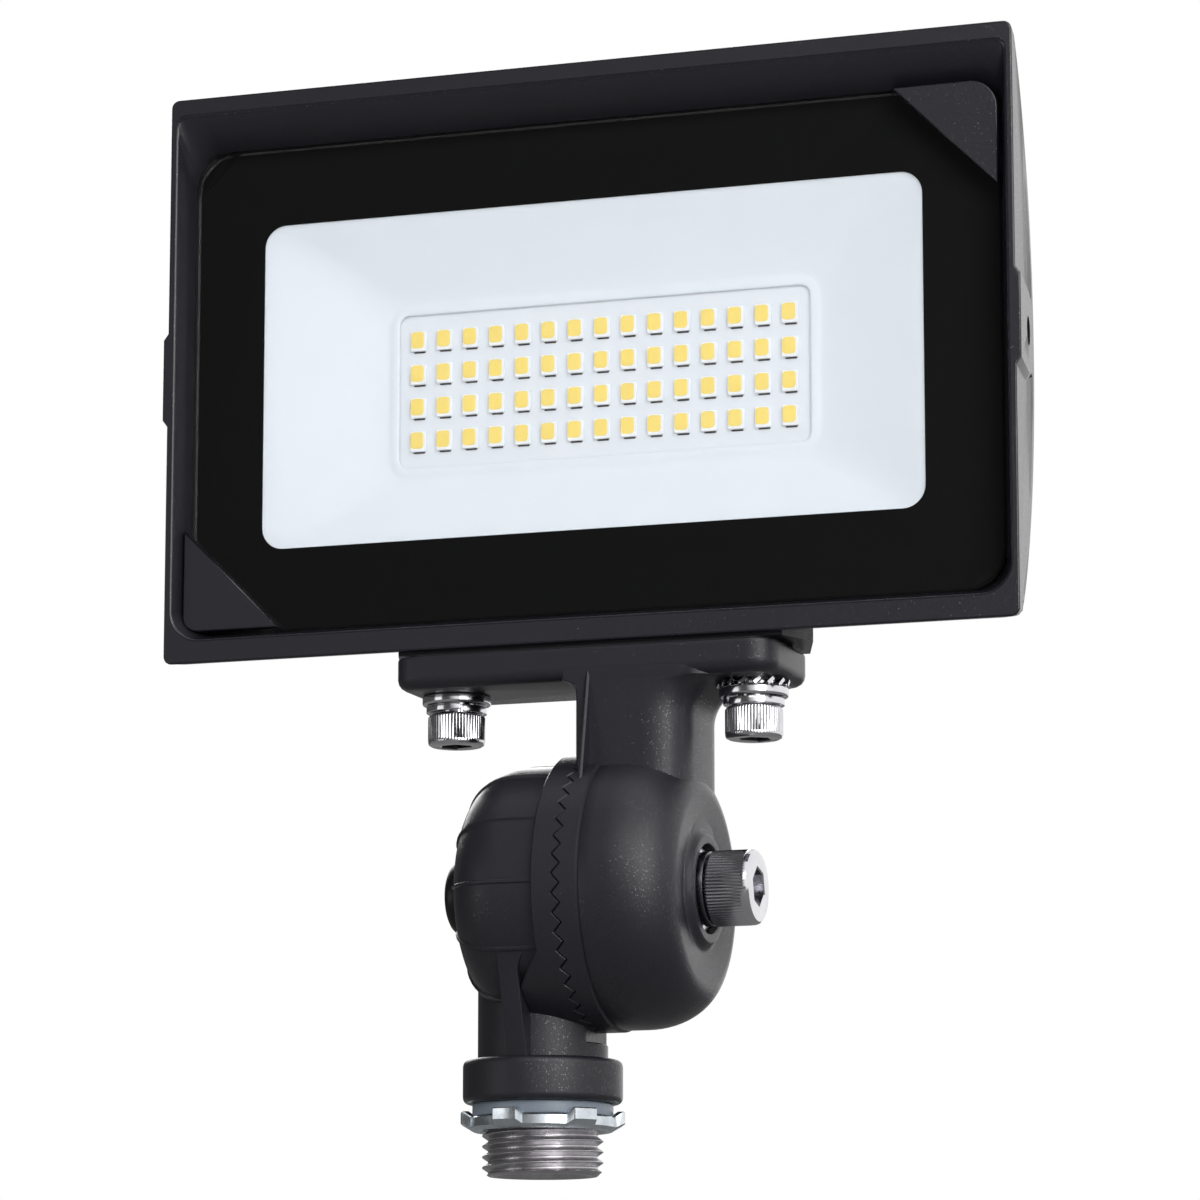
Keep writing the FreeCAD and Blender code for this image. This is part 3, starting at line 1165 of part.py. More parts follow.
def led_grid(name, width, height, thick, back):
    """One rectangle per LED, standing on the given depth, in columns and rows."""
    body = new_body(name, HEAD_AT)
    first_x = -d.led_pitch_x * (d.led_columns - 1) / 2
    first_z = ENGINE_Z - d.led_pitch_z * (d.led_rows - 1) / 2
    cell = plain(first_x - width / 2, first_z - height / 2, first_x + width / 2, first_z + height / 2)
    one = extrude(body, "Pad", sketch(body, f"{name}_cell", "XZ_Plane", [cell], back), thick, -1)
    grid = row_pattern(body, one, "X_Axis", d.led_columns, d.led_pitch_x)
    grid.Direction2 = (origin_feature(body, "Z_Axis"), [""])
    bind(grid, "Length2", d.led_pitch_z * (d.led_rows - 1))
    bind(grid, "Occurrences2", d.led_rows)
    return body


def make_leds():
    """LED bodies on the board and the phosphor on each of them."""
    packages = led_grid("led_packages", d.led_width, d.led_height, d.led_thick, d.board_front)
    phosphors = led_grid("led_phosphors", d.phosphor_width, d.phosphor_height, d.phosphor_thick,
                         d.board_front - d.led_thick)
    return [packages, phosphors]


nodes = [make_conduit_nipple(), make_sealing_ring(), make_locknut()]
nodes += [make_lower_knuckle(), make_upper_knuckle()]
nodes += make_pivot()
nodes += make_plate_fasteners()
nodes += [make_plate_seal(), make_housing()]
nodes += make_glass()
nodes += [make_clamp("upper_clamp", 1), make_clamp("lower_clamp", -1), make_reflector()]
nodes += make_board()
nodes += make_leds()
doc.recompute()

for item in doc.Objects:
    if "Invalid" in item.State or "Error" in item.State:
        raise RuntimeError(f"{item.Label} failed: {item.State}")
for node in nodes:
    if node.Shape.isNull() or not node.Shape.isValid():
        raise RuntimeError(f"{node.Label} has no valid shape")

os.makedirs("parts", exist_ok=True)
for node in nodes:
    node.Shape.exportStep(f"parts/{node.Label}.step")
    print(node.Label, len(node.Shape.Solids), round(node.Shape.Volume, 1))
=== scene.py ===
# %% [markdown]
# # LED flood light on a toothed knuckle
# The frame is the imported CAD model: it fixes every size and place, in metres. This lesson dresses it with surfaces
# worked out with numpy in millimetres, in the same frame.

# %% Load the frame
import math

import bmesh
import bpy
import numpy as np
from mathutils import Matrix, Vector


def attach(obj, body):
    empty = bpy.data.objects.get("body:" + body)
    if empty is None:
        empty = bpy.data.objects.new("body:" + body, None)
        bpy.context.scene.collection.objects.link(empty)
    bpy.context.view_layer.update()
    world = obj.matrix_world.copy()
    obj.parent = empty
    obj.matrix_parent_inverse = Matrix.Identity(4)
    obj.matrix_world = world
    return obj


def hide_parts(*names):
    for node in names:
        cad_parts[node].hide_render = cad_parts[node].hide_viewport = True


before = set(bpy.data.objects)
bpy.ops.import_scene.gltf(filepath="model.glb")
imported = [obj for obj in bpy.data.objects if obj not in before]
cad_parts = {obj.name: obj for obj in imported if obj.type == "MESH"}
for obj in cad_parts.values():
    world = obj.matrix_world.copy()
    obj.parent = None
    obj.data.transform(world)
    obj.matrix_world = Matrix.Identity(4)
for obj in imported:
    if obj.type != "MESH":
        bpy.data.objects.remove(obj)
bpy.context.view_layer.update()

MM = 0.001
scene = bpy.context.scene

# %% [markdown]
# ## Building blocks
# Most parts of a lamp are turned or cast, so a piece is a grid of points: rows along a profile, columns round
# an axis or an outline, computed as whole arrays. Outlines start as corners that are then rounded.

# %% Outlines and turned surfaces
EDGE_SHARE = 0.49  # most of an edge that one corner may use up


def grid_faces(rows, columns):
    """Quads between neighbouring rows; the last column meets the first again."""
    row, column = np.meshgrid(np.arange(rows - 1), np.arange(columns), indexing="ij")
    ahead = (column + 1) % columns
    corners = [row * columns + column, row * columns + ahead]
    corners += [(row + 1) * columns + ahead, (row + 1) * columns + column]
    return np.stack(corners, -1).reshape(-1, 4)


def softened(corners, radius, steps=6, closed=False):
    """Outline with each corner P replaced by the curve (1-t)^2 A + 2t(1-t) P + t^2 B, t from 0 to 1.

    A and B lie on the two edges at P, a tangent length (radius over the tangent of half the angle) away.
    """
    points = np.asarray(corners, float)
    sides = np.stack([np.roll(points, 1, 0), np.roll(points, -1, 0)]) - points
    lengths = np.linalg.norm(sides, axis=2)
    u, v = sides / lengths[..., None]
    half = np.arccos(np.clip((u * v).sum(1), -0.9999, 0.9999)) / 2
    room = EDGE_SHARE * lengths.min(0)
    cut = np.minimum(np.broadcast_to(radius, half.shape) / np.tan(half), room)
    t = np.linspace(0, 1, steps)[None, :, None]
    a = (points + u * cut[:, None])[:, None]
    b = (points + v * cut[:, None])[:, None]
    curves = (1 - t) ** 2 * a + 2 * t * (1 - t) * points[:, None] + t**2 * b
    if not closed:
        curves[0] = points[0]
        curves[-1] = points[-1]
    return curves.reshape(-1, 2)


def rounded_box(left, low, right, high, radius, steps=8):
    """Closed outline of a rectangle with rounded corners, counter-clockwise."""
    return softened([(left, low), (right, low), (right, high), (left, high)], radius, steps, True)


def circle(columns):
    """Angles of equal columns round a full turn."""
    return np.linspace(0, 2 * np.pi, columns, endpoint=False)


def rows_of(*rows):
    """Rows of a grid, each given as one number or as one per column."""
    return np.stack(np.broadcast_arrays(*rows))


def placed(axis, across, up, along):
    """Points from two coordinates across an axis and one along it."""
    order = {"X": (along, across, up), "Y": (across, along, up), "Z": (across, up, along)}[axis]
    return np.stack(np.broadcast_arrays(*order), -1)


def turned(radius, height, axis, at=(0, 0, 0), columns=96, angles=None):
    """Surface of revolution: the point at angle t is radius (cos t, sin t) across the axis, height along it.

    radius and height are one number per row, or one per row and column where the profile changes with t.
    """
    t = circle(columns) if angles is None else angles
    radius = np.broadcast_to(np.reshape(radius, (len(radius), -1)), (len(radius), len(t)))
    height = np.broadcast_to(np.reshape(height, (len(height), -1)), radius.shape)
    points = placed(axis, radius * np.cos(t), radius * np.sin(t), height) + np.asarray(at, float)
    return points.reshape(-1, 3), grid_faces(*radius.shape)


print("outlines and turned surfaces ready")

# %% [markdown]
# A piece is one object at the origin with its place in its mesh. It rides on a body of the frame, hides the CAD
# nodes that it stands for, and names its material slot. Doubles merge, so a row of one point is a closed pole.

# %% Pieces
WELD, SLIVER = 2e-6, 1e-6  # metres: nearer points merge, shorter edges go


def in_scene(name, data):
    """New object with the given data, linked into the scene."""
    made = bpy.data.objects.new(name, data)
    scene.collection.objects.link(made)
    return made


def piece(name, surfaces, material, body, nodes, crease=32):
    """Join surfaces into one mesh in metres and finish it."""
    sizes = np.cumsum([0] + [len(points) for points, _ in surfaces])
    points = np.concatenate([points for points, _ in surfaces]) * MM
    faces = np.concatenate([faces + start for (_, faces), start in zip(surfaces, sizes)])
    mesh = bpy.data.meshes.new(name)
    mesh.from_pydata(points.tolist(), [], faces.tolist())
    return dress(name, mesh, material, body, nodes, crease)


def dress(name, mesh, material, body, nodes, crease):
    """Merge a mesh's doubles, turn its faces outwards, shade it by angle and hang it on the frame."""
    work = bmesh.new()
    work.from_mesh(mesh)
    bmesh.ops.remove_doubles(work, verts=work.verts, dist=WELD)
    bmesh.ops.dissolve_degenerate(work, edges=work.edges, dist=SLIVER)
    bmesh.ops.recalc_face_normals(work, faces=work.faces)
    work.to_mesh(mesh)
    work.free()
    mesh.polygons.foreach_set("use_smooth", np.ones(len(mesh.polygons), bool))
    mesh.set_sharp_from_angle(angle=math.radians(crease))
    mesh.materials.clear()
    mesh.materials.append(material)
    made = in_scene(name, mesh)
    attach(made, body)
    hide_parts(*nodes)
    print(name, len(mesh.polygons), "faces on", body)
    return made


print("piece makers ready")

# %% [markdown]
# ## Finishes
# One function turns sRGB hex colours to linear, one adds a node with its settings and links, and one starts a
# material. The others make what nearly every real finish has: a slow drift, two tints and a fine raised grain.

# %% Material helpers


def linear(hex_colour):
    """sRGB hex to linear RGBA: values up to 0.04045 over 12.92, the rest ((v + 0.055) / 1.055) to 2.4."""
    values = np.array([int(hex_colour[i : i + 2], 16) for i in (1, 3, 5)]) / 255
    bright = ((values + 0.055) / 1.055) ** 2.4
    return (*np.where(values <= 0.04045, values / 12.92, bright), 1.0)


def add(tree, kind, sockets=None, **settings):
    """Add a node, set its properties, and give its sockets a value or a link from another socket."""
    made = tree.nodes.new(kind)
    for key, value in settings.items():
        setattr(made, key, value)
    for key, value in (sockets or {}).items():
        if isinstance(value, bpy.types.NodeSocket):
            tree.links.new(value, made.inputs[key])
        else:
            made.inputs[key].default_value = value
    return made


def surface(name, colour, roughness, metallic=0.0, **sockets):
    """New material with one Principled shader; returns the material, its node tree and the shader."""
    made = bpy.data.materials.new(name)
    made.use_nodes = True
    tree = made.node_tree
    shader = tree.nodes["Principled BSDF"]
    values = {"Base Color": linear(colour), "Roughness": roughness, "Metallic": metallic}
    values.update({key.replace("_", " "): value for key, value in sockets.items()})
    for key, value in values.items():
        shader.inputs[key].default_value = value
    made.diffuse_color = linear(colour)
    return made, tree, shader


def per_mm(size):
    """Texture scale whose cells are about this many millimetres across."""
    return 1 / (size * MM)


def feed(tree, shader, **sources):
    """Link sources into a shader's sockets; an underscore stands for a space."""
    for key, source in sources.items():
        tree.links.new(source, shader.inputs[key.replace("_", " ")])


def textured(tree, kind, size, **sockets):
    """Texture node in object coordinates, so that its pattern stays on the piece at every pose."""
    place = add(tree, "ShaderNodeTexCoord").outputs["Object"]
    return add(tree, kind, {"Scale": per_mm(size), "Vector": place, **sockets})


def noise(tree, size, **sockets):
    """Value of a noise whose largest grains are about this many millimetres across."""
    return textured(tree, "ShaderNodeTexNoise", size, **sockets).outputs[0]


def blend(tree, factor, first, second):
    """Colour that goes from one hex colour to another as the factor goes from 0 to 1."""
    ends = {0: factor, 6: linear(first), 7: linear(second)}  # 6 and 7 are the colours A and B
    return add(tree, "ShaderNodeMix", ends, data_type="RGBA").outputs[2]


def ranged(tree, value, start, end, first, last):
    """Value carried from the range start..end to first..last, and held beyond it."""
    span = {"Value": value, "From Min": start, "From Max": end, "To Min": first, "To Max": last}
    return add(tree, "ShaderNodeMapRange", span).outputs[0]


def compute(tree, operation, first, second, kind="ShaderNodeMath"):
    """Result of an operation on two sockets or values."""
    return add(tree, kind, {0: first, 1: second}, operation=operation).outputs[0]


def raised(tree, shader, height, strength, depth):
    """Bend the shader's normal by a height that is depth millimetres at most; returns that normal."""
    relief = {"Strength": strength, "Distance": depth * MM, "Height": height}
    normal = add(tree, "ShaderNodeBump", relief).outputs[0]
    feed(tree, shader, Normal=normal)
    return normal


print("material helpers ready")

# %% [markdown]
# The castings are die-cast aluminium with a charcoal powder coat. It melts to a satin skin with a fine orange peel,
# smoother and silvery at a grazing angle; on edges it draws thin and gleams. Mica flakes under the surface are a
# clear layer of the same shader, so they only add glints near a lamp's reflection.

# %% Powder coat
FLAKE_CELL = 0.2  # mm; real flakes are finer, but would not show
FLAKE_PICK, FLAKE_R, FLAKE_TILT = 0.85, 0.35, 0.3  # empty share, radius in cells, lean
VECTOR = "ShaderNodeVectorMath"


def mica_flakes(tree, shader, normal):
    """In cells picked by chance, a round spot of clear layer: its normal leans by the cell's random colour."""
    flakes = textured(tree, "ShaderNodeTexVoronoi", FLAKE_CELL)
    chance = flakes.outputs["Color"]
    chosen = compute(tree, "GREATER_THAN", add(tree, "ShaderNodeSeparateColor", {0: chance}).outputs[2], FLAKE_PICK)
    spot = compute(tree, "LESS_THAN", flakes.outputs["Distance"], FLAKE_R)
    lean = compute(tree, "SUBTRACT", chance, (0.5, 0.5, 0.5), VECTOR)
    tilt = add(tree, VECTOR, {0: lean, "Scale": FLAKE_TILT}, operation="SCALE").outputs[0]
    facing = add(tree, VECTOR, {0: compute(tree, "ADD", normal, tilt, VECTOR)}, operation="NORMALIZE").outputs[0]
    feed(tree, shader, Coat_Weight=compute(tree, "MULTIPLY", chosen, spot), Coat_Normal=facing)


def powder_coat(name, face, graze):
    """Coat whose roughness goes from face, seen straight on, to graze, seen along the surface."""
    made, tree, shader = surface(name, "#24232b", face, Specular_IOR_Level=0.6, Coat_Roughness=0.14, Coat_IOR=1.8)
    tint = blend(tree, noise(tree, 14, Detail=3.0), "#222129", "#27262e")
    slant = add(tree, "ShaderNodeLayerWeight", {"Blend": 0.5}).outputs["Facing"]
    feed(tree, shader, Base_Color=tint, Roughness=ranged(tree, slant, 0.55, 0.9, face, graze))
    mica_flakes(tree, shader, raised(tree, shader, noise(tree, 0.5, Detail=2.0, Roughness=0.6), 0.25, 0.04))
    return made


powder = powder_coat("powder_coated_aluminium", 0.47, 0.26)  # dark satin with sparse glints
powder_edge = powder_coat("powder_coated_edge", 0.24, 0.2)  # thin bright lines along the rims
print("powder coat ready")

# %% [markdown]
# Fasteners are steel with bright zinc; the pivot's spring washer is oiled and darker. The locknut is stamped and
# barrel plated, dull in patches. The nipple is bare machined aluminium. They differ in tint, gloss and patches.

# %% Metals


def plated(name, light, dark, low, high, patch, strength):
    """Metal whose colour and roughness drift between two values over patches of the given size in mm."""
    made, tree, shader = surface(name, light, low, 1.0)
    cloud = noise(tree, patch, Detail=4.0)
    feed(tree, shader, Base_Color=blend(tree, cloud, light, dark), Roughness=ranged(tree, cloud, 0.35, 0.65, low, high))
    raised(tree, shader, noise(tree, 0.4, Detail=3.0), strength, 0.03)
    return made


# Mirror glints and dark reflections side by side.
bright_zinc = plated("bright_zinc_plated_steel", "#ecebee", "#d6d5da", 0.10, 0.22, 3.0, 0.12)
# A duller, darker ring behind the bolt's head.
dark_zinc = plated("oiled_spring_steel", "#8d8d92", "#5d5d62", 0.22, 0.38, 2.0, 0.2)
# Bluish white, cloudy sheet metal.
stamped_zinc = plated("stamped_zinc_plated_steel", "#eef3f6", "#c6d0d8", 0.16, 0.36, 2.5, 0.35)
# Soft warm grey whose highlights blur along the thread.
machined = plated("machined_aluminium", "#d0ced1", "#b4b1b4", 0.24, 0.42, 1.6, 0.35)
print("4 metals")

# %% [markdown]
# Plastics and rubber: a white tray with a soft sheen, white solder mask, a black nylon cap, a grey polyethylene
# ring that lets a little light through, silicone and epoxy. A faint moulded grain keeps them from one flat colour.

# %% Plastics
CLOUD = 20  # the drift's width, in grains


def moulded(name, colour, other, roughness, grain, strength, **sockets):
    """Plastic with a faint drift of colour and a fine moulded grain of the given width in mm."""
    made, tree, shader = surface(name, colour, roughness, **sockets)
    feed(tree, shader, Base_Color=blend(tree, noise(tree, CLOUD * grain, Detail=3.0), colour, other))
    raised(tree, shader, noise(tree, grain, Detail=2.0), strength, 0.02)
    return made


# Cool whites whose slopes shade softly into one another.
white_tray = moulded("moulded_white_polycarbonate", "#e6ebf2", "#e1e7ef", 0.42, 0.6, 0.05)
solder_mask = moulded("white_solder_mask", "#e6eaf0", "#e0e5ec", 0.38, 0.4, 0.05)
led_plastic = moulded("white_reflector_resin", "#f4f5f7", "#eceef2", 0.35, 0.2, 0.05)
# Warm yellow cells, the only colour on the lamp.
phosphor = moulded("yellow_phosphor_silicone", "#fbdb66", "#fae07a", 0.4, 0.12, 0.25)
# Dark lines under the LEDs: terminal strips whose dark brown is painted shade and painted reflection.
shaded_terminal = moulded("terminal_painted_shade", "#2c2524", "#1f1a1a", 0.35, 0.2, 0.2, Metallic=0.6)
# Deep blacks: the cap has a sheen, the print shows only the glass's reflections.
nylon = moulded("black_moulded_nylon", "#0c0c0d", "#131315", 0.38, 0.3, 0.2)
black_print = moulded("black_ceramic_print", "#08080a", "#0a0a0c", 0.5, 0.3, 0.05)
# Milky blue grey, brighter at thin edges.
seal_grey = moulded("grey_polyethylene", "#a1acb9", "#909caa", 0.34, 0.4, 0.1,
                    Subsurface_Weight=0.2, Subsurface_Radius=(MM, MM, MM))
# Matt inner pieces that show only where the lamp is taken apart.
silicone = moulded("white_silicone_sheet", "#d6d8da", "#c8cacd", 0.55, 0.5, 0.15)
seal_black = moulded("black_silicone_frame", "#0e0e10", "#131316", 0.5, 0.5, 0.15)
rubber = moulded("grey_rubber_sheet", "#3a3b3e", "#323336", 0.6, 0.5, 0.25)
epoxy = moulded("black_epoxy_moulding", "#151516", "#1b1b1d", 0.45, 0.2, 0.3)
print("11 plastics and a terminal")

# %% [markdown]
# The cover is clear float glass: slow waves bend its reflections a little. Shadow rays pass straight through it,
# so that the tray behind stays bright.

# %% Glass
glass, tree, shader = surface("clear_float_glass", "#fdfefe", 0.0, Transmission_Weight=1.0, IOR=1.5)
raised(tree, shader, noise(tree, 60, Detail=1.0), 0.02, 0.02)
shadow = add(tree, "ShaderNodeLightPath").outputs["Is Shadow Ray"]
clear = add(tree, "ShaderNodeBsdfTransparent").outputs[0]
mixed = add(tree, "ShaderNodeMixShader", {0: shadow, 1: shader.outputs[0], 2: clear})
feed(tree, tree.nodes["Material Output"], Surface=mixed.outputs[0])
print(len(bpy.data.materials), "materials")

# %% [markdown]
# ## The toothed joint
# Both cups end in a ring of radial teeth, which lock the tilt. The tooth height grows with the radius, so each
# flank is a flat wedge; crests and roots get a narrow flat. The grid's columns stand where the flanks break.

# %% Teeth
JOINT_X, UPPER_X, PIVOT_Z = 10.4, 10.55, 48.3  # the joint's two faces and the pivot's height
TEETH, TOOTH_R, TOOTH_IN, TOOTH_HALF = 45, 24.0, 17.4, 0.75
TOOTH_EDGE = 0.22  # broken outer edge
TIP = 0.93  # share of the height where tips are cut flat


def tooth_wave(angle):
    """Triangle wave of height 1 with cut tips: -1 at the top of the ring, once per tooth."""
    phase = np.mod((angle - np.pi / 2) * TEETH / (2 * np.pi), 1.0)
    return np.clip(1 - 4 * np.abs(phase - 0.5), -TIP, TIP)


def toothed(heights, angles):
    """Rows of a cup with the teeth added to the first three and the last, in proportion to their radius."""
    swing = TOOTH_HALF * np.array([TOOTH_IN, TOOTH_R, TOOTH_R]) / TOOTH_R
    heights[:3] += swing[:, None] * tooth_wave(angles)
    heights[-1] += swing[0] * tooth_wave(angles)
    return heights


breaks = np.array([-0.035, 0.0, 0.035, 0.2, 0.465, 0.5, 0.535, 0.8])  # in shares of a tooth
tooth_angles = np.sort((np.arange(TEETH)[:, None] + breaks).ravel()) * 2 * np.pi / TEETH + np.pi / 2
print(len(tooth_angles), "columns round the joint")

# %% [markdown]
# The upper half is one casting: cup, neck, plate and a thin web. The cup is a turned profile whose first rows
# follow the teeth. Its shoulder is a quarter ellipse, and a dish with a raised boss carries the washer.

# %% Upper cup
CUP_R, FACE_R = 23.7, 16.2  # the wall and the end face's edge
SHOULDER_X, FACE_X = 8.0, 19.0  # where the shoulder starts and ends
BOLT_HOLE, HOLLOW_R, SEAT = 4.08, 8.2, 16.8  # hole, hollow behind the teeth, washer's seat
HUB_STEPS = 9

arc = np.linspace(0, np.pi / 2, 18)
shoulder = np.column_stack([FACE_R + (CUP_R - FACE_R) * np.cos(arc),
                            SHOULDER_X + (FACE_X - SHOULDER_X) * np.sin(arc)])
hub_corners = [(FACE_R, FACE_X), (10.4, 18.3), (9.3, 19.6), (7.7, 19.6), (7.6, SEAT), (BOLT_HOLE, SEAT),
               (BOLT_HOLE, 0.6), (HOLLOW_R, 0.6), (HOLLOW_R, 10.0), (TOOTH_IN, 10.0)]
hub = softened(hub_corners, [0, 1.5, 0.7, 0.35, 0.1, 0.1, 0.1, 0.1, 0.1, 0], HUB_STEPS)
rim = [(TOOTH_IN, 0), (TOOTH_R - TOOTH_EDGE, 0), (TOOTH_R, 0.2), (TOOTH_R, 3.5), (23.5, 3.8), (CUP_R, 4.3),
       (CUP_R, 6.0)]
rows = np.vstack([rim, shoulder, hub[HUB_STEPS:], [(TOOTH_IN, 0)]])
radii, heights = rows.T[:, :, None] + np.zeros(len(tooth_angles))
upper_cup = turned(radii, toothed(heights, tooth_angles), "X", (UPPER_X, 0, PIVOT_Z), angles=tooth_angles)
print(len(upper_cup[1]), "faces on the upper cup")

# %% [markdown]
# The neck is square on its left and round on its right, and widens into the plate in quarter circles, as molten
# metal needs to flow. It is a stack of outlines with a skin over it.

# %% Upper neck
NECK_LEFT, NECK_RIGHT, PLATE_Z, PLATE_TOP = 9.95, 29.05, 83.8, 89.4
PLATE_DEEP = 12.0  # half the plate's depth
LEFT_FLARE, RIGHT_FLARE = 2.6, 6.5
NECK_CORNERS = [0.8, 7.2, 7.2, 0.8]
SINK = 0.03  # keeps the neck's front off the plate's


def flare(level, end, reach):
    """How far a stem has widened: a quarter circle of the given reach whose top is at the end level."""
    rise = np.clip(level - (end - reach), 0, reach)
    return reach - np.sqrt(reach**2 - rise**2)


def lofted(loops):
    """Skin over a stack of equal loops, closed at both ends by a fan to the loop's middle."""
    loops = np.asarray(loops, float)
    ends = [np.broadcast_to(loop.mean(0), loop.shape) for loop in (loops[0], loops[-1])]
    stack = np.concatenate([ends[0][None], loops, ends[1][None]])
    return stack.reshape(-1, 3), grid_faces(stack.shape[0], stack.shape[1])


def neck_outline(level):
    """Outline of the neck at a height, widened by both flares."""
    front = PLATE_DEEP - SINK * np.clip((level - PLATE_Z) / 2, 0, 1)
    left = NECK_LEFT - flare(level, PLATE_Z, LEFT_FLARE)
    right = NECK_RIGHT + flare(level, PLATE_Z, RIGHT_FLARE)
    corners = [(left, -front), (right, -front), (right, front), (left, front)]
    return softened(corners, NECK_CORNERS, 9, True)


levels = np.concatenate([[56.0, 70.0], np.linspace(76.0, PLATE_Z, 14), [PLATE_Z + 3]])
upper_neck = lofted([placed("Z", *neck_outline(level).T, level) for level in levels])
print(len(levels), "outlines up the neck")

# %% [markdown]
# The plate under the head has a rolled lower edge and a sharper upper one. A thin casting web runs down the left
# side of the neck to the cup: an outline carried straight along the pivot.

# %% Plate, web and the whole upper half
PLATE_HALF, PLATE_CORNER = 34.5, 5.0
WEB_LEFT, WEB_RIGHT, WEB_BEVEL = NECK_LEFT + 1.8, NECK_LEFT + 2.6, 0.32
WEB_WIDE, WEB_NARROW = 16.3, 14.0  # half depths at the cup


def inset(outline, distance):
    """Outline moved inwards by a distance along the normal of its neighbouring points."""
    along = np.roll(outline, -1, 0) - np.roll(outline, 1, 0)
    along /= np.maximum(np.linalg.norm(along, axis=1), 1e-9)[:, None]
    return outline + distance * np.stack([-along[:, 1], along[:, 0]], -1)


def prism(outline, axis, start, end, bevel):
    """Outline carried straight along an axis, with bevelled edges at both ends."""
    levels = [(start, bevel), (start + bevel, 0.0), (end - bevel, 0.0), (end, bevel)]
    return lofted([placed(axis, *inset(outline, back).T, level) for level, back in levels])


lower_edge = [(0.0, 1.9), (0.15, 1.25), (0.55, 0.6), (1.1, 0.2), (1.9, 0.0), (2.2, 0.0)]  # (rise, inset)
upper_edge = [(-0.7, 0.0), (-0.4, 0.0), (-0.1, 0.1), (0.0, 0.4)]
plate_levels = [(PLATE_Z + rise, back) for rise, back in lower_edge]
plate_levels += [(PLATE_TOP + rise, back) for rise, back in upper_edge]
loops = []
for level, back in plate_levels:
    outline = rounded_box(UPPER_X - PLATE_HALF + back, back - PLATE_DEEP, UPPER_X + PLATE_HALF - back,
                          PLATE_DEEP - back, PLATE_CORNER - back, 10)
    loops.append(placed("Z", *outline.T, level))
plate = lofted(loops)
web_top, web_knee, web_foot = PLATE_Z + 1.5, PIVOT_Z + 17.2, PIVOT_Z + 15.0
web = np.array([(-PLATE_DEEP, web_top), (-WEB_WIDE, web_knee), (-WEB_NARROW, web_foot),
                (WEB_NARROW, web_foot), (WEB_WIDE, web_knee), (PLATE_DEEP, web_top)])
upper_web = prism(web, "X", WEB_LEFT, WEB_RIGHT, WEB_BEVEL)
piece("upper_knuckle_casting", [upper_cup, upper_neck, plate, upper_web], powder, "head",
      ["upper_knuckle"])

# %% [markdown]
# The lower half carries thin casting ribs over its rounded cup. Near each rib the turned surface is pushed out
# along its own normal, so the rib follows the rounding. Extra columns stand at the ribs' edges.

# %% Ribs of the lower cup
RIBS, RIB_R, RIB_HEIGHT = 12, 22.0, 0.32
RIB_FLAT, RIB_SIDE = 0.2, 0.25  # half the flat top, width of the slope

rib_centres = np.radians(np.arange(RIBS) * 360 / RIBS)
rib_steps = np.array([-0.55, -0.45, -0.2, 0.0, 0.2, 0.45, 0.55]) / RIB_R
rib_angles = np.mod((rib_centres[:, None] + rib_steps).ravel(), 2 * np.pi)
angles = np.unique(np.round(np.concatenate([np.mod(tooth_angles, 2 * np.pi), rib_angles]), 6))
apart = np.abs(np.mod(angles[:, None] - rib_centres + np.pi, 2 * np.pi) - np.pi).min(1) * RIB_R
rib = RIB_HEIGHT * (1 - np.clip((apart - RIB_FLAT) / RIB_SIDE, 0, 1))
print(RIBS, "ribs on", len(angles), "columns")

# %% [markdown]
# The cup has a toothed rim, a straight wall, a quarter-round back and the bolt's hole. Below, a shelf of metal
# thickens its rim over the neck and fades out on both sides.

# %% Lower cup
LOWER_R, LOWER_ROUND, LOWER_BACK = 22.2, 9.7, 21.6  # wall, rounding and depth
CAP_R = 7.85  # recess for the cap
SHELF_WIDE, SHELF_FADE = 1.05, 0.3  # radians from the bottom where it ends, and fade
SHELF_DEPTHS = np.array([4.4, 4.4, 4.4, 4.4, 1.6])  # per row

arc = np.linspace(0, np.pi / 2, 14)
cup_r = np.concatenate([[LOWER_R] * 3, LOWER_R - LOWER_ROUND + LOWER_ROUND * np.cos(arc)])
cup_x = np.concatenate([[-4.8, -8.0, -11.0], LOWER_ROUND - LOWER_BACK - LOWER_ROUND * np.sin(arc)])
out_r = np.concatenate([[1, 1, 1], np.cos(arc)])
out_x = np.concatenate([[0, 0, 0], -np.sin(arc)])
fade = np.concatenate([np.ones(len(cup_r) - 2), [0.5, 0.0]])
front_rows = [(TOOTH_IN, 0), (TOOTH_R - TOOTH_EDGE, 0), (TOOTH_R, -0.2), (TOOTH_R, -4.1),
              (TOOTH_R - 0.3, -4.4), (22.5, -4.4)]
inner_rows = [(CAP_R, -LOWER_BACK), (CAP_R, -20.6), (BOLT_HOLE, -20.6), (BOLT_HOLE, -0.6),
              (HOLLOW_R, -0.6), (HOLLOW_R, -12.0), (TOOTH_IN, -12.0), (TOOTH_IN, 0)]
rows = np.vstack([front_rows, np.column_stack([cup_r, cup_x]), inner_rows])
radii, heights = rows.T[:, :, None] + np.zeros(len(angles))
heights = toothed(heights, angles)
from_bottom = np.abs(np.mod(angles + np.pi / 2 + np.pi, 2 * np.pi) - np.pi)
heights[3:8] -= SHELF_DEPTHS[:, None] * np.clip((SHELF_WIDE - from_bottom) / SHELF_FADE, 0, 1)
first = len(front_rows)
last = first + len(cup_r)
radii[first:last] += (out_r * fade)[:, None] * rib
heights[first:last] += (out_x * fade)[:, None] * rib
lower_cup = turned(radii, heights, "X", (JOINT_X, 0, PIVOT_Z), angles=angles)
print(len(lower_cup[1]), "faces on the lower cup")

# %% [markdown]
# The neck is a tube with a flat on its right that clears the other half's rim: its full round stops where that
# rim would turn into it. The collar round its foot takes the nipple. A web fills the corner between neck and cup.

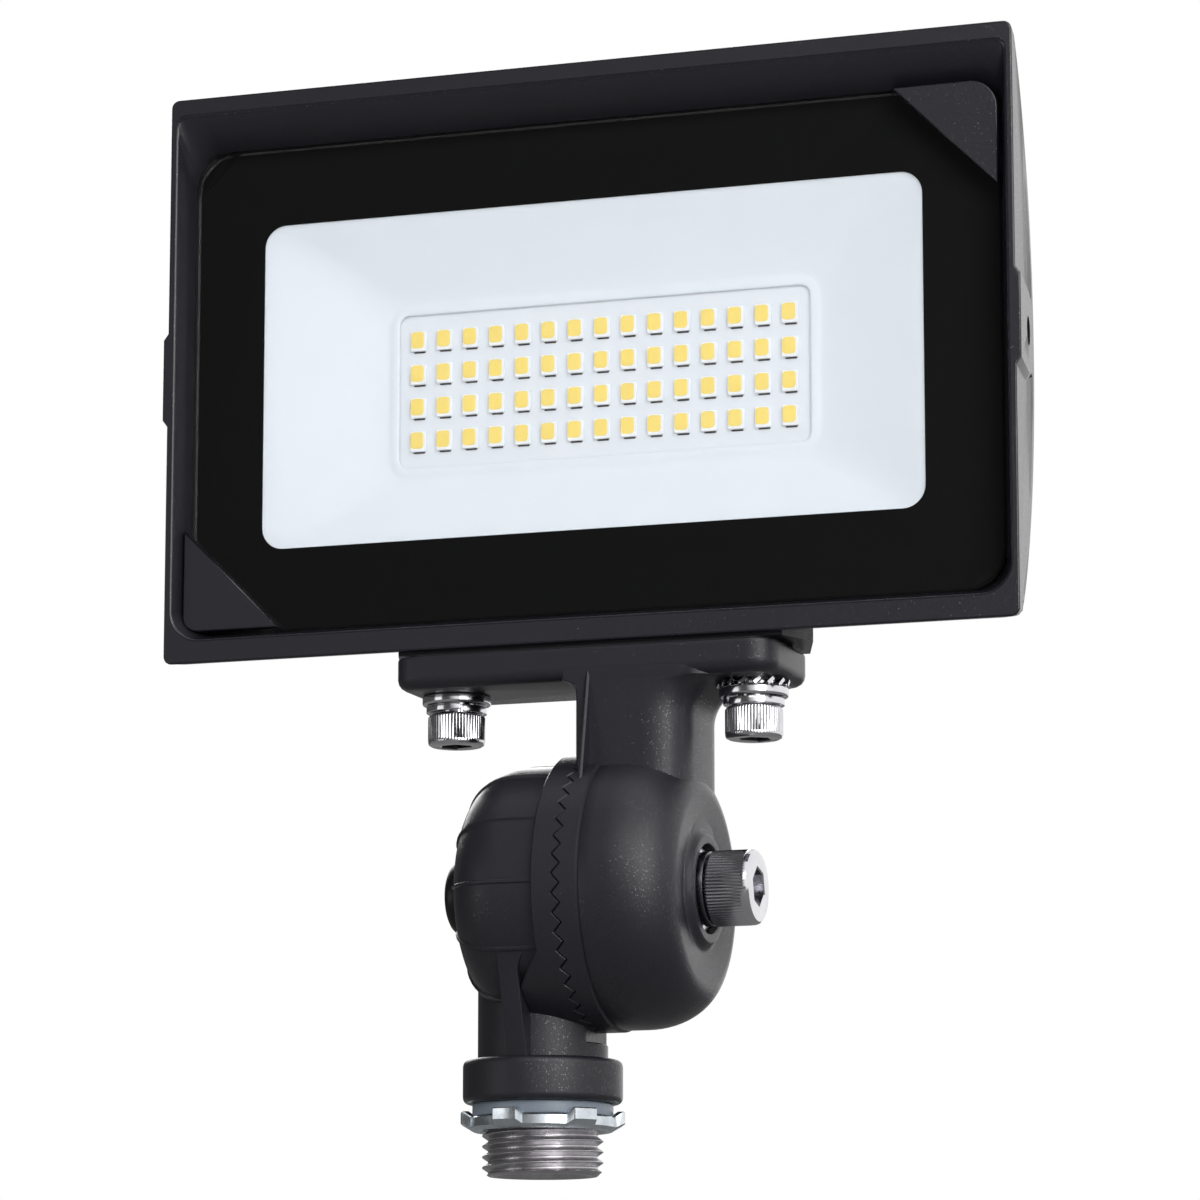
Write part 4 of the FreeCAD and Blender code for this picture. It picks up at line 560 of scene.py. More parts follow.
# %% Lower neck, collar, web and the whole lower half
NECK_R, NECK_FLAT, NECK_FOOT, NECK_TALL = 11.2, 9.65, 16.5, 23.5
RIM_CLEAR, STEP_TOP, STEP_EASE = 24.6, 22.4, 0.2  # rim's room, highest step, broken edge
WIRE_R = 7.5
COLLAR_Z, COLLAR_TOP, COLLAR_R, COLLAR_EDGE = 12.3, 19.8, 13.75, 1.3
SOCKET_R, NIPPLE_TOP = 9.83, 17.3
WEB_FOOT, WEB_TOP, WEB_FLARE = COLLAR_TOP - 0.8, PIVOT_Z - 10.8, 4.3

turn = circle(160)
step = np.minimum(PIVOT_Z - np.sqrt(RIM_CLEAR**2 - (NECK_R * np.sin(turn)) ** 2), STEP_TOP)
flat = np.minimum(NECK_R, NECK_FLAT / np.maximum(np.cos(turn), 0.05))
ease = np.minimum(NECK_R - flat, STEP_EASE)
top = NECK_FOOT + NECK_TALL
radii = rows_of(WIRE_R, NECK_R, NECK_R, NECK_R - ease, flat, flat, WIRE_R, WIRE_R)
heights = rows_of(NECK_FOOT, NECK_FOOT, step - ease, step, step, top, top, NECK_FOOT)
lower_neck = turned(radii, heights, "Z", angles=turn)
ring_corners = [(SOCKET_R, 12.5), (9.9, COLLAR_Z), (COLLAR_R, COLLAR_Z), (COLLAR_R, COLLAR_TOP), (9.0, COLLAR_TOP),
                (9.0, NIPPLE_TOP), (SOCKET_R, NIPPLE_TOP), (SOCKET_R, 12.5)]
ring = softened(ring_corners, [0, 0.05, COLLAR_EDGE, COLLAR_EDGE, 0.05, 0.05, 0.05, 0], 8)
collar = turned(*ring.T, "Z", columns=160)
loops = []
for level in np.concatenate([[WEB_FOOT], np.linspace(WEB_TOP - WEB_FLARE, WEB_TOP, 12)]):
    front = 12.8 + 0.345 * (level - WEB_FOOT)
    outline = rounded_box(-1.8, -front, 1.7 + flare(level, WEB_TOP, WEB_FLARE), front, 0.3, 4)
    loops.append(placed("Z", *outline.T, level))
piece("lower_knuckle_casting", [lower_cup, lower_neck, collar, lofted(loops)], powder, "base",
      ["lower_knuckle"])

# %% [markdown]
# ## Conduit nipple, ring and locknut
# The nipple carries a conduit thread of 14 turns per inch. It is a turned surface whose radius also depends on
# the angle: the crest climbs one pitch per turn. Crest and root have a narrow flat, and the free end a chamfer.

# %% Threaded nipple
PITCH = 25.4 / 14
CREST_R, THREAD_DEPTH, THREAD_TOP = 10.4, 1.02, 12.4
FLANK, CREST_FLAT = 1.30, 0.10  # steepness and flat crest, in half pitches
END_R, TUBE_R, SHANK_R, TUBE_EDGE = 9.35, 7.9, 9.8, 0.35

turn = circle(144)
rise = np.linspace(0.05, THREAD_TOP, 180)
phase = np.mod(rise[:, None] / PITCH - turn / (2 * np.pi) + 0.25, 1.0)
depth = np.clip(np.abs(phase - 0.5) * 2 * FLANK - CREST_FLAT, 0.0, 1.0) * THREAD_DEPTH
end_cut = np.minimum(CREST_R, END_R + rise[:, None])
thread = np.minimum(CREST_R - depth, end_cut)
radii = rows_of(TUBE_R, TUBE_R + TUBE_EDGE, 9.3, *thread, SHANK_R, SHANK_R, TUBE_R, TUBE_R)
level = np.concatenate([[TUBE_EDGE, 0.0, 0.0], rise, [THREAD_TOP, NIPPLE_TOP, NIPPLE_TOP, TUBE_EDGE]])
piece("threaded_nipple", [turned(radii, level, "Z", angles=turn)], machined, "base",
      ["conduit_nipple"], 50)

# %% [markdown]
# The sealing ring is a plain soft washer with rounded edges, cut from tube.

# %% Sealing ring
RING_IN, RING_OUT, RING_Z = 10.6, 12.1, 10.0
edge = softened([(RING_IN, RING_Z), (RING_OUT, RING_Z), (RING_OUT, COLLAR_Z), (RING_IN, COLLAR_Z), (RING_IN, RING_Z)],
                [0, 0.35, 0.35, 0.3, 0], 5)
piece("sealing_ring_soft", [turned(*edge.T, "Z", columns=128)], seal_grey, "sealing_ring",
      ["sealing_ring"])

# %% [markdown]
# The locknut is stamped from sheet: its rim is cut into six lugs that are bent up towards the ring. A wave round
# the rim tells how far each column is bent, and rim radius, top and foot all follow it.

# %% Locknut
LUGS, LUG_TURN = 6, math.radians(21)
LUG_HALF, LUG_BEND = 0.30, 0.12  # half a lug and its bend, in half steps
NUT_IN, NUT_OUT, LUG_OUT = 10.5, 12.75, 14.1
NUT_FOOT, NUT_TOP = 7.6, 9.95

turn = circle(288)
beat = np.abs(np.mod((turn - LUG_TURN) * LUGS / (2 * np.pi) + 0.5, 1.0) - 0.5) * 2
bent = 1 - np.clip((beat - LUG_HALF) / LUG_BEND, 0, 1)
rim_r = NUT_OUT + (LUG_OUT - NUT_OUT) * bent
top = NUT_TOP + 1.05 * bent
foot = 7.95 + 0.75 * bent
radii = rows_of(NUT_IN, NUT_IN + 0.25, 11.9, rim_r - 0.35, rim_r, rim_r, rim_r - 0.2, rim_r - 1.15,
                12.35 + 0.3 * bent, 12.2, NUT_IN + 0.2, NUT_IN, NUT_IN)
levels = rows_of(7.85, NUT_FOOT, NUT_FOOT, foot, foot + 0.3, top - 0.2, top, top, top - 0.9 * bent,
                 NUT_TOP, NUT_TOP, 9.75, 7.85)
piece("stamped_locknut", [turned(radii, levels, "Z", angles=turn)], stamped_zinc, "locknut",
      ["locknut"], 24)

# %% [markdown]
# ## Fasteners
# A cap screw is cold-headed, knurled and plated. Here it is one turned grid: the knurl is a row of shallow grooves,
# and the hexagon socket a row whose radius is half the flats over the cosine of the angle to the nearest flat.

# %% Cap screws
GROOVE, GROOVE_SHAPE = 0.17, 0.6  # the knurl's depth and roundness


def cap_screw(radius, length, head_r, head, flats, depth, grooves, columns=240):
    """Radius and height rows of a socket cap screw whose bearing face is at height 0 and head points up."""
    t = circle(columns)
    knurl = head_r - GROOVE * (0.5 - 0.5 * np.cos(t * grooves)) ** GROOVE_SHAPE
    hexagon = flats / 2 / np.cos(np.mod(t + np.pi / 6, np.pi / 3) - np.pi / 6)
    shank = [(0, -length), (radius - 0.6, -length), (radius, 0.6 - length), (radius, 0.0)]
    grip = [(head_r - 0.5, 0.0), (np.minimum(knurl, head_r - 0.2), 0.25), (knurl, 0.55),
            (knurl, head * 0.80), (np.minimum(knurl + 0.1, head_r - 0.03), head * 0.84)]
    crown = [(head_r - 0.05, head * 0.90), (head_r - 0.2, head * 0.95), (head_r - 0.62, head - 0.04),
             (head_r - 0.85, head)]
    socket = [(hexagon + 0.22, head), (hexagon, head - 0.2), (hexagon, head - depth),
              (hexagon * 0.5, head - depth - 0.6), (0, head - depth - 0.9)]
    radii, levels = zip(*shank, *grip, *crown, *socket)
    return rows_of(*radii), np.array(levels), t


SCREW_MID, SCREW_X = UPPER_X + 0.5, 27.2
LEFT_X, RIGHT_X = SCREW_MID - SCREW_X, SCREW_MID + SCREW_X
WASHER, STAR = 1.6, 1.3  # thickness of washers and tooth lock washer
left_seat, right_seat = PLATE_Z - 2 * WASHER, PLATE_Z - STAR - 2 * WASHER
radii, levels, turn = cap_screw(radius=3.0, length=18.0, head_r=5.0, head=5.6, flats=5.0, depth=2.8, grooves=60)
screws = [turned(radii, -levels, "Z", (LEFT_X, 0, left_seat), angles=turn + 0.3),
          turned(radii, -levels, "Z", (RIGHT_X, 0, right_seat), angles=turn + 0.1)]
piece("plate_cap_screws", screws, bright_zinc, "head", ["plate_screws"], 28)

BEARING_X = UPPER_X + SEAT
PIVOT_SPRING = 2.0  # its spring washer's thickness
bolt_x = BEARING_X + WASHER + PIVOT_SPRING
radii, levels, turn = cap_screw(4.0, 45.0, head_r=6.5, head=8.0, flats=6.0, depth=4.0, grooves=72, columns=288)
piece("pivot_cap_bolt", [turned(radii, levels, "X", (bolt_x, 0, PIVOT_Z), angles=turn + 0.25)], bright_zinc,
      "pivot_bolt", ["pivot_bolt"], 28)

# %% [markdown]
# Flat washers are stamped: turned rings with one rolled and one sharp edge. A spring washer is a square bar
# wound into one turn: its section is carried along a shallow helix that is open by a small gap.

# %% Washers
GAP = np.radians(4)  # half the gap of a spring washer
M6_HOLE, M8_HOLE = 3.2, 4.2


def flat_washer(outer, inner, thick):
    """Closed profile of a washer whose upper rim is rolled and whose lower edge is sharp."""
    corners = [(inner, thick / 2), (inner, 0), (outer, 0), (outer, thick), (inner, thick), (inner, thick / 2)]
    return softened(corners, [0, 0.15, 0.25, 0.45, 0.15, 0], 5)


def spring_washer(outer, inner, thick, axis, at, start, lead=0.35, columns=120):
    """Bar section carried round 352 degrees while it climbs by lead, closed at both cut ends."""
    section = softened([(inner, 0), (outer, 0), (outer, thick), (inner, thick)], 0.2, 4, True)
    t = (np.linspace(GAP, 2 * np.pi - GAP, columns) + start)[:, None]
    climb = lead * (np.linspace(0, 1, columns) - 0.5)
    squeeze = (thick - lead) / thick
    along = section[:, 1] * squeeze + lead / 2 + climb[:, None]
    bar = placed(axis, section[:, 0] * np.cos(t), section[:, 0] * np.sin(t), along)
    return lofted(bar + np.asarray(at, float))


washer = flat_washer(6.0, M6_HOLE, WASHER) * (1, -1)
flats = [turned(*washer.T, "Z", (LEFT_X, 0, PLATE_Z)), turned(*washer.T, "Z", (RIGHT_X, 0, PLATE_Z - STAR))]
piece("plate_flat_washer_pair", flats, bright_zinc, "head", ["plate_flat_washers"])
springs = [spring_washer(5.3, M6_HOLE, WASHER, "Z", (LEFT_X, 0, left_seat), math.radians(-60)),
           spring_washer(5.3, M6_HOLE, WASHER, "Z", (RIGHT_X, 0, right_seat), math.radians(-130))]
piece("plate_spring_washer_pair", springs, bright_zinc, "head", ["plate_spring_washers"])
washer = flat_washer(7.3, M8_HOLE, WASHER)
piece("pivot_washer", [turned(*washer.T, "X", (BEARING_X, 0, PIVOT_Z), 128)], bright_zinc,
      "pivot_washers", ["pivot_flat_washer"])
spring = spring_washer(6.4, M8_HOLE, PIVOT_SPRING, "X", (BEARING_X + WASHER, 0, PIVOT_Z), math.radians(-70), 0.5)
piece("pivot_spring", [spring], dark_zinc, "pivot_washers", ["pivot_spring_washer"])

# %% [markdown]
# The tooth lock washer is a thin ring whose outer teeth are twisted out of its plane, so they bite into the plate.
# Each tooth is a small bar that turns by 42 degrees on its way out; all teeth are one array.

# %% Tooth lock washer
STAR_TEETH, TWIST = 16, np.radians(42)
STAR_R, STAR_HALF = 4.9, 0.35  # radius and half thickness of the ring
BAR_WIDE, BAR_HIGH = 0.72, 0.3  # half sizes of a tooth's section


def rotated(points, angle):
    """Both coordinates of flat points (a, b), turned to (a cos - b sin, a sin + b cos)."""
    a, b = points[:, 0], points[:, 1]
    return a * np.cos(angle) - b * np.sin(angle), a * np.sin(angle) + b * np.cos(angle)


middle = PLATE_Z - STAR / 2
ring_corners = [(M6_HOLE, -0.2), (M6_HOLE, -STAR_HALF), (STAR_R, -STAR_HALF), (STAR_R, STAR_HALF),
                (M6_HOLE, STAR_HALF), (M6_HOLE, -0.2)]
ring = softened(ring_corners, [0, 0.1, 0.1, 0.1, 0.1, 0], 4)
star = [turned(*ring.T, "Z", (RIGHT_X, 0, middle))]
reach = np.linspace(4.6, 6.3, 6)
twist = TWIST * np.clip((reach - 4.8) / 0.9, 0, 1)
section = rounded_box(-BAR_WIDE, -BAR_HIGH, BAR_WIDE, BAR_HIGH, 0.1, 3)
side, lift = rotated(section, twist[:, None])
tooth, faces = lofted(placed("X", side, lift, reach[:, None]))
spin = np.arange(STAR_TEETH) * 2 * np.pi / STAR_TEETH
x, y = rotated(tooth, spin[:, None])
teeth = (placed("Z", x, y, tooth[:, 2]) + (RIGHT_X, 0, middle)).reshape(-1, 3)
shift = np.arange(STAR_TEETH)[:, None, None] * len(tooth)
star.append((teeth, (faces[None] + shift).reshape(-1, 4)))
piece("tooth_lock_star", star, bright_zinc, "head", ["tooth_lock_washer"])

# %% [markdown]
# A black nylon cap covers the nut on the pivot's left end. It is moulded round, so it is turned here.

# %% Nut cap
CAP_X = JOINT_X - LOWER_BACK
dome_corners = [(0, -5.2), (6.5, -5.2), (6.5, 0), (7.8, 0), (7.8, 1.0), (4.5, 1.0), (4.5, -3.6), (0, -3.6)]
dome = softened(dome_corners, [0, 2.2, 0.3, 0.3, 0.1, 0.1, 0.1, 0], 8)
piece("pivot_nut_cap", [turned(*dome.T, "X", (CAP_X, 0, PIVOT_Z), 128)], nylon, "base",
      ["nut_cap"])

# %% [markdown]
# ## The head
# Housing and corner clamps are copies of the CAD pieces, which have the right form. Flat faces are made whole and
# points trimmed a little. Sharp front edges get a die-cast edge's radius, in the coat's smoother edge finish.

# %% Copies of castings
FLAT = math.radians(0.4)  # faces that bend less are one


def reshaped(node, change):
    """Copy of a CAD node's mesh whose points, one row each in mm, went through a function."""
    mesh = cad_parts[node].data.copy()
    points = np.empty(len(mesh.vertices) * 3, np.float32)
    mesh.vertices.foreach_get("co", points)
    mesh.vertices.foreach_set("co", (change(points.reshape(-1, 3) / MM) * MM).astype(np.float32).ravel())
    return mesh


def front_edges(mesh, front):
    """Mark, edge by edge, the sharp ones that lie further forward than a depth in mm."""
    ends = np.empty(len(mesh.edges) * 2, np.int32)
    mesh.edges.foreach_get("vertices", ends)
    points = np.empty(len(mesh.vertices) * 3, np.float32)
    mesh.vertices.foreach_get("co", points)
    forward = (points[1::3][ends].reshape(-1, 2) < front * MM).all(1)
    sharp = np.empty(len(mesh.edges), bool)
    mesh.attributes["sharp_edge"].data.foreach_get("value", sharp)
    return forward & sharp


def casting_copy(name, node, change, front, width, crease=30):
    """Trimmed copy of a coated CAD node with a rounded bevel of a width in mm on its front edges."""
    mesh = reshaped(node, change)
    work = bmesh.new()
    work.from_mesh(mesh)
    bmesh.ops.remove_doubles(work, verts=work.verts, dist=WELD)
    bmesh.ops.dissolve_limit(work, angle_limit=FLAT, verts=work.verts, edges=work.edges)
    work.to_mesh(mesh)
    work.free()
    mesh.name = name
    made = dress(name, mesh, powder, "head", [node], crease)
    mesh.materials.append(powder_edge)
    chosen = front_edges(mesh, front)
    weight = mesh.attributes.new("bevel_weight_edge", "FLOAT", "EDGE")
    weight.data.foreach_set("value", chosen.astype(np.float32))
    bevel = made.modifiers.new("cast edges", "BEVEL")
    bevel.width = width * MM
    bevel.segments = 4
    bevel.limit_method = "WEIGHT"
    bevel.use_clamp_overlap = False
    bevel.harden_normals = True
    bevel.material = 1
    print(chosen.sum(), "rounded edges")


print("copies of castings ready")

# %% [markdown]
# The real rim's corners are tighter than the CAD's. A corner is redrawn by sliding its points along their rays from
# the old arc's centre, which keeps the mesh whole.

# %% Corner radii
HEAD_X, HEAD_Z, RIM_Y = 10.55, 141.9, -11.8  # middle of the head and its rim's front


def sharper(x, z, centre, old, new):
    """Corner of radius old about a centre, redrawn with radius new inside the same square.

    Each point keeps its direction from the centre. Its distance is scaled by the new outline's distance
    in that direction over the old one; on the new arc that is a(c + s) + sqrt(new^2 - a^2 (c - s)^2),
    with a = old - new and c, s the direction's cosine and sine.
    """
    away = np.stack([np.abs(x - HEAD_X) - centre[0], np.sign(centre[1]) * (z - HEAD_Z) - abs(centre[1])])
    far = np.hypot(*away)
    inside = (away.min(0) > 1e-4) & (far < old + 0.3)
    c, s = away / np.maximum(far, 1e-6)
    a = old - new
    arc = a * (c + s) + np.sqrt(np.maximum(new**2 - a**2 * (c - s) ** 2, 0))
    on_top = np.where(a * s > old * c, old / np.maximum(s, 1e-6), arc)
    reach = np.where(a * c > old * s, old / np.maximum(c, 1e-6), on_top)
    away = np.where(inside, away * (reach / old - 1), 0)
    return x + np.sign(x - HEAD_X) * away[0], z + np.sign(centre[1]) * away[1]


print("corners can be redrawn")

# %% [markdown]
# The housing is one die casting: rim, walls, fins, side pads and pedestal. The trims follow the photograph.

# %% Housing
RIM_CORNER, RIM_OLD = (74.75, 48.5), 3.0  # centre from the middle, CAD radius
INNER_CORNER, INNER_OLD = (70.85, 42.7), 5.5  # upper inner corners
RIM_NEW = 1.5
SILL_DROP, WALL_SHIFT, PAD_SLOPE, FOOT_SHIFT = 0.95, 0.6, 0.86, 1.5
WALL_X, GLASS_DEEP = 69.2, 4.0  # start of the wall's rounding, glass's depth
PAD_X, DRAFT = 78.65, math.tan(math.radians(8.3))  # pads' faces at the rim, walls' lean
FRONT_Y = RIM_Y + 0.05


def trim_housing(points):
    """Sharper rim corners, a lower sill, a steeper left wall, sloped side pads and a shorter left foot."""
    x, y, z = points.T
    for side in (1, -1):
        x, z = sharper(x, z, (RIM_CORNER[0], side * RIM_CORNER[1]), RIM_OLD, RIM_NEW)
    front = y < FRONT_Y
    new_x, new_z = sharper(x, z, INNER_CORNER, INNER_OLD, RIM_NEW)
    x, z = np.where(front, new_x, x), np.where(front, new_z, z)
    sill = front & (np.abs(x - HEAD_X) < 76.4) & (z > 95) & (z < 101.2)
    z = np.where(sill, z - SILL_DROP, z)
    wall = (np.abs(y - RIM_Y - GLASS_DEEP) < 0.05) & (z > 95.7) & (z < 184.3) & (x < HEAD_X - WALL_X)
    x = np.where(wall, x - WALL_SHIFT * np.clip((HEAD_X - WALL_X - x) / 5.5, 0, 1), x)
    from_middle = np.abs(z - HEAD_Z)
    pad = (np.abs(x - HEAD_X) > PAD_X - (y - RIM_Y) * DRAFT - 0.15) & (from_middle > 7) & (from_middle < 8.6)
    z = np.where(pad, HEAD_Z + (z - HEAD_Z) * PAD_SLOPE, z)
    foot = (x > HEAD_X - 38.7) & (x < HEAD_X - 34.4) & (y > -9.4) & (y < 11.3) & (z < 97.1)
    x = np.where(foot, x + FOOT_SHIFT, x)
    return np.stack([x, y, z], -1)


casting_copy("housing_casting", "housing", trim_housing, FRONT_Y, 0.4)

# %% [markdown]
# Two small cast triangles clamp the glass at opposite corners. The upper one keeps its CAD shape; the lower one
# is moved and sharpened a little, round its screw hole.

# %% Corner clamps
CLAMP_Y = RIM_Y + 2.25
CLAMP_HOLE, HOLE_KEEP = (HEAD_X - 69.0, 101.5), 2.6  # centre, and what stays round it
CLAMP_CORNER, CLAMP_OLD, CLAMP_NEW, CLAMP_SHIFT = (69.5, -40.9), 5.0, 3.2, 0.5


def trim_clamp(points):
    """Lower clamp moved 0.5 mm to the left, with a sharper corner and its lower edge 0.5 mm higher."""
    x, y, z = points.T
    plate = np.hypot(x - CLAMP_HOLE[0], z - CLAMP_HOLE[1]) > HOLE_KEEP
    new_x, new_z = sharper(x, z, CLAMP_CORNER, CLAMP_OLD, CLAMP_NEW)
    tip = (new_z < 96.1) & (new_x > HEAD_X - 57)
    new_x = new_x - CLAMP_SHIFT - CLAMP_SHIFT * tip
    new_z = new_z + CLAMP_SHIFT * np.clip((98 - new_z) / 2, 0, 1)
    return np.stack([np.where(plate, new_x, x), y, np.where(plate, new_z, z)], -1)


casting_copy("upper_corner_clamp", "upper_clamp", np.copy, CLAMP_Y, 0.3)
casting_copy("lower_corner_clamp", "lower_clamp", trim_clamp, CLAMP_Y, 0.3)

# %% [markdown]
# The reflector tray is moulded: a flange behind the print, four soft slopes, a raised bead round the opening and
# the back of the wall. It is a stack of rounded outlines, whose middle drifts from the window's to the board's.

# %% Reflector tray
OPTIC_Z, ENGINE_Z = 140.0, 139.25  # window's and board's middle
WINDOW_SHIFT = np.array([-0.75, 0.0, 0.6])
WINDOW_HALF, SLOPE_RUN = (60.85, 29.45), (20.6, 13.4)  # at the window, and what the slopes take off
BOARD_LONGER = 24.2  # half width over half height of the opening
FLANGE = (67.0, 36.5, 6.0)  # half sizes and corner radius


def optic_loop(half_x, half_z, radius, depth, sunk, steps=12):
    """Rounded outline at a depth behind the rim's front; sunk goes from 0 at the window to 1 at the board."""
    window = np.array([HEAD_X, 0, OPTIC_Z]) + WINDOW_SHIFT
    middle = (1 - sunk) * window + sunk * np.array([HEAD_X, 0, ENGINE_Z])
    outline = rounded_box(middle[0] - half_x, middle[2] - half_z, middle[0] + half_x, middle[2] + half_z, radius, steps)
    return placed("Y", *outline.T, RIM_Y + depth)


slope = np.array([0.0, 0.15, 0.4, 0.65, 0.85, 0.93, 0.98])
drop = np.array([0.0, 0.16, 0.42, 0.68, 0.88, 0.955, 0.99])
flange_rows = [(*FLANGE, 8.4, 0), (*FLANGE, 7.4, 0), (61.6, 30.2, 4.8, 7.4, 0)]
slope_rows = [(WINDOW_HALF[0] - SLOPE_RUN[0] * s, WINDOW_HALF[1] - SLOPE_RUN[1] * s, 4.0 + 1.1 * s, 7.45 + 5.95 * f, s)
              for s, f in zip(slope, drop)]
bead = [(40.2, 4.6, 13.4), (39.9, 4.3, 13.41), (39.55, 3.8, 13.34), (39.2, 3.4, 13.27), (38.75, 2.9, 13.25),
        (38.4, 2.5, 13.28), (38.16, 2.3, 13.38), (38.1, 2.2, 13.52), (38.1, 2.2, 13.66), (38.3, 2.4, 13.68),
        (40.8, 5.7, 13.68)]
bead_rows = [(half, half - BOARD_LONGER, radius, depth, 1) for half, radius, depth in bead]
back_rows = [(62.0, 30.6, 5.2, 8.4, 0), (*FLANGE, 8.4, 0)]
loops = np.stack([optic_loop(*row) for row in flange_rows + slope_rows + bead_rows + back_rows])
tray = (loops.reshape(-1, 3), grid_faces(*loops.shape[:2]))
piece("reflector_tray", [tray], white_tray, "head", ["reflector"], 60)

# %% [markdown]
# Sixty LEDs: each has a white resin body, a rounded yellow phosphor that is slightly proud, and a terminal strip
# along its lower side, painted dark brown as the shade under the LED. One of each is made, and all places are
# added to it at once.

# %% LEDs
COLUMNS, ROWS, STEP_X, STEP_Z = 15, 4, 4.92, 6.08
BOARD_Y = RIM_Y + 13.9
PHOSPHOR_AT, TERMINAL_AT = (-0.12, 0, 0.2), (0.1, 0, -1.95)


def many(surface, places):
    """The same surface repeated at every place: all points plus all offsets."""
    points, faces = surface
    places = np.asarray(places, float)
    copies = (places[:, None] + points[None]).reshape(-1, 3)
    shift = np.arange(len(places))[:, None, None] * len(points)
    return copies, (faces[None] + shift).reshape(-1, 4)


column, row = np.meshgrid(np.arange(COLUMNS) - (COLUMNS - 1) / 2, np.arange(ROWS) - (ROWS - 1) / 2, indexing="ij")
board = np.full(column.size, BOARD_Y)
places = np.stack([HEAD_X + STEP_X * column.ravel(), board, ENGINE_Z + STEP_Z * row.ravel()], -1)
body = prism(rounded_box(-1.45, -1.8, 1.45, 1.8, 0.3, 4), "Y", -0.7, 0.0, 0.1)
piece("led_bodies", [many(body, places)], led_plastic, "head", ["led_packages"])
cell = rounded_box(-1.22, -1.5, 1.22, 1.5, 0.75, 6)
rows = [(-0.68, 0.0), (-0.715, 0.0), (-0.74, 0.12), (-0.755, 0.45)]
loops = [placed("Y", *inset(cell, back).T, level) for level, back in rows]
glow = many(lofted(loops), places + PHOSPHOR_AT)
piece("led_phosphor_cells", [glow], phosphor, "head", ["led_phosphors"])
bar = prism(rounded_box(-1.05, -0.13, 1.05, 0.13, 0.06, 3), "Y", -0.2, 0.0, 0.03)
# The terminal strips' dark brown is painted shade under each LED.
piece("led_terminals", [many(bar, places + TERMINAL_AT)], shaded_terminal, "head", [])

# %% [markdown]
# The glass is a flat plate with two rounded and two cut corners and a ground arris that shows as a thin bright
# line. The print on its back is a copy of the CAD piece, whose window moves with the tray as in the photograph.

# %% Glass and print
GLASS_X, GLASS_Z, GLASS_CUT, GLASS_BACK, ARRIS = 74.5, 44.0, 16, 7.2, 0.35
corners = np.array([(GLASS_CUT - GLASS_X, -GLASS_Z), (GLASS_X, -GLASS_Z), (GLASS_X, GLASS_Z - GLASS_CUT),
                    (GLASS_X - GLASS_CUT, GLASS_Z), (-GLASS_X, GLASS_Z), (-GLASS_X, GLASS_CUT - GLASS_Z)])
edge = softened(corners + (HEAD_X, OPTIC_Z), [0.6, 8.0, 0.6, 0.6, 8.0, 0.6], 9, True)
sheet = prism(edge, "Y", RIM_Y + GLASS_DEEP, RIM_Y + GLASS_BACK, ARRIS)
piece("cover_glass", [sheet], glass, "head", ["front_glass"], 20)


def shift_window(points):
    """The window's outline moved with the tray; the print's outer edge stays."""
    inner = (np.abs(points[:, 0] - HEAD_X) < 62) & (np.abs(points[:, 2] - OPTIC_Z) < 31)
    return points + inner[:, None] * WINDOW_SHIFT


dress("glass_print", reshaped("glass_border", shift_window), black_print, "head", ["glass_border"], 30)

# %% [markdown]
# The board and the hidden pieces are simple solids: they keep their CAD shape and only get their materials.

# %% CAD nodes that stay
stay = {"glass_gasket": seal_black, "led_board": solder_mask, "thermal_pad": silicone, "board_screws": bright_zinc,
        "board_regulators": epoxy, "plate_seal": rubber, "pivot_nut": bright_zinc}
for node, material in stay.items():
    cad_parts[node].material_slots[0].material = material
print(len(stay), "CAD nodes keep their shape")

# %% [markdown]
# ## Studio
# The photograph is taken a little from the right and from below, with a long lens. The camera was fitted to it.

# %% Camera
AZIMUTH, ELEVATION, LENS = math.radians(18.9516), math.radians(-10.1259), 148.36
level = math.cos(ELEVATION)
back = Vector((math.sin(AZIMUTH) * level, -math.cos(AZIMUTH) * level, math.sin(ELEVATION)))
camera = in_scene("camera", bpy.data.cameras.new("camera"))
camera.location = (0.28529, -0.80070, -0.05160)
camera.rotation_euler = (-back).to_track_quat("-Z", "Y").to_euler()
camera.data.sensor_width = 36.0
camera.data.lens = LENS
camera.data.clip_start = 0.01
scene.camera = camera
print("camera with a", LENS, "mm lens")

# %% [markdown]
# Below lies white paper. The camera sees it nearly white, also through glass. Other rays see a grey, which keeps
# the coat's undersides dark.

# %% Floor
FLOOR_HALF, FLOOR_Z, FLOOR_GLOW = 3.0, -0.13, 0.42


def viewed(tree):
    """Light Path node, and a value that is 1 for rays straight or through glass from the camera, else 0."""
    ray = add(tree, "ShaderNodeLightPath")
    return ray, compute(tree, "MAXIMUM", ray.outputs["Is Camera Ray"], ray.outputs["Is Transmission Ray"])


corners = np.array([(-1, -1, 0), (1, -1, 0), (1, 1, 0), (-1, 1, 0)]) * FLOOR_HALF + (0, 0, FLOOR_Z)
mesh = bpy.data.meshes.new("floor")
mesh.from_pydata(corners.tolist(), [], [(0, 1, 2, 3)])
floor = in_scene("floor", mesh)
paper, tree, shader = surface("white_paper_sweep", "#dcdcdc", 0.8)
seen = viewed(tree)[1]
shader.inputs["Emission Color"].default_value = linear("#ffffff")
feed(tree, shader, Base_Color=blend(tree, seen, "#8c8c8c", "#e4e4e4"),
     Emission_Strength=compute(tree, "MULTIPLY", seen, FLOOR_GLOW))
raised(tree, shader, noise(tree, 4), 0.1, 0.1)
mesh.materials.append(paper)
print("paper floor at", FLOOR_Z, "m")

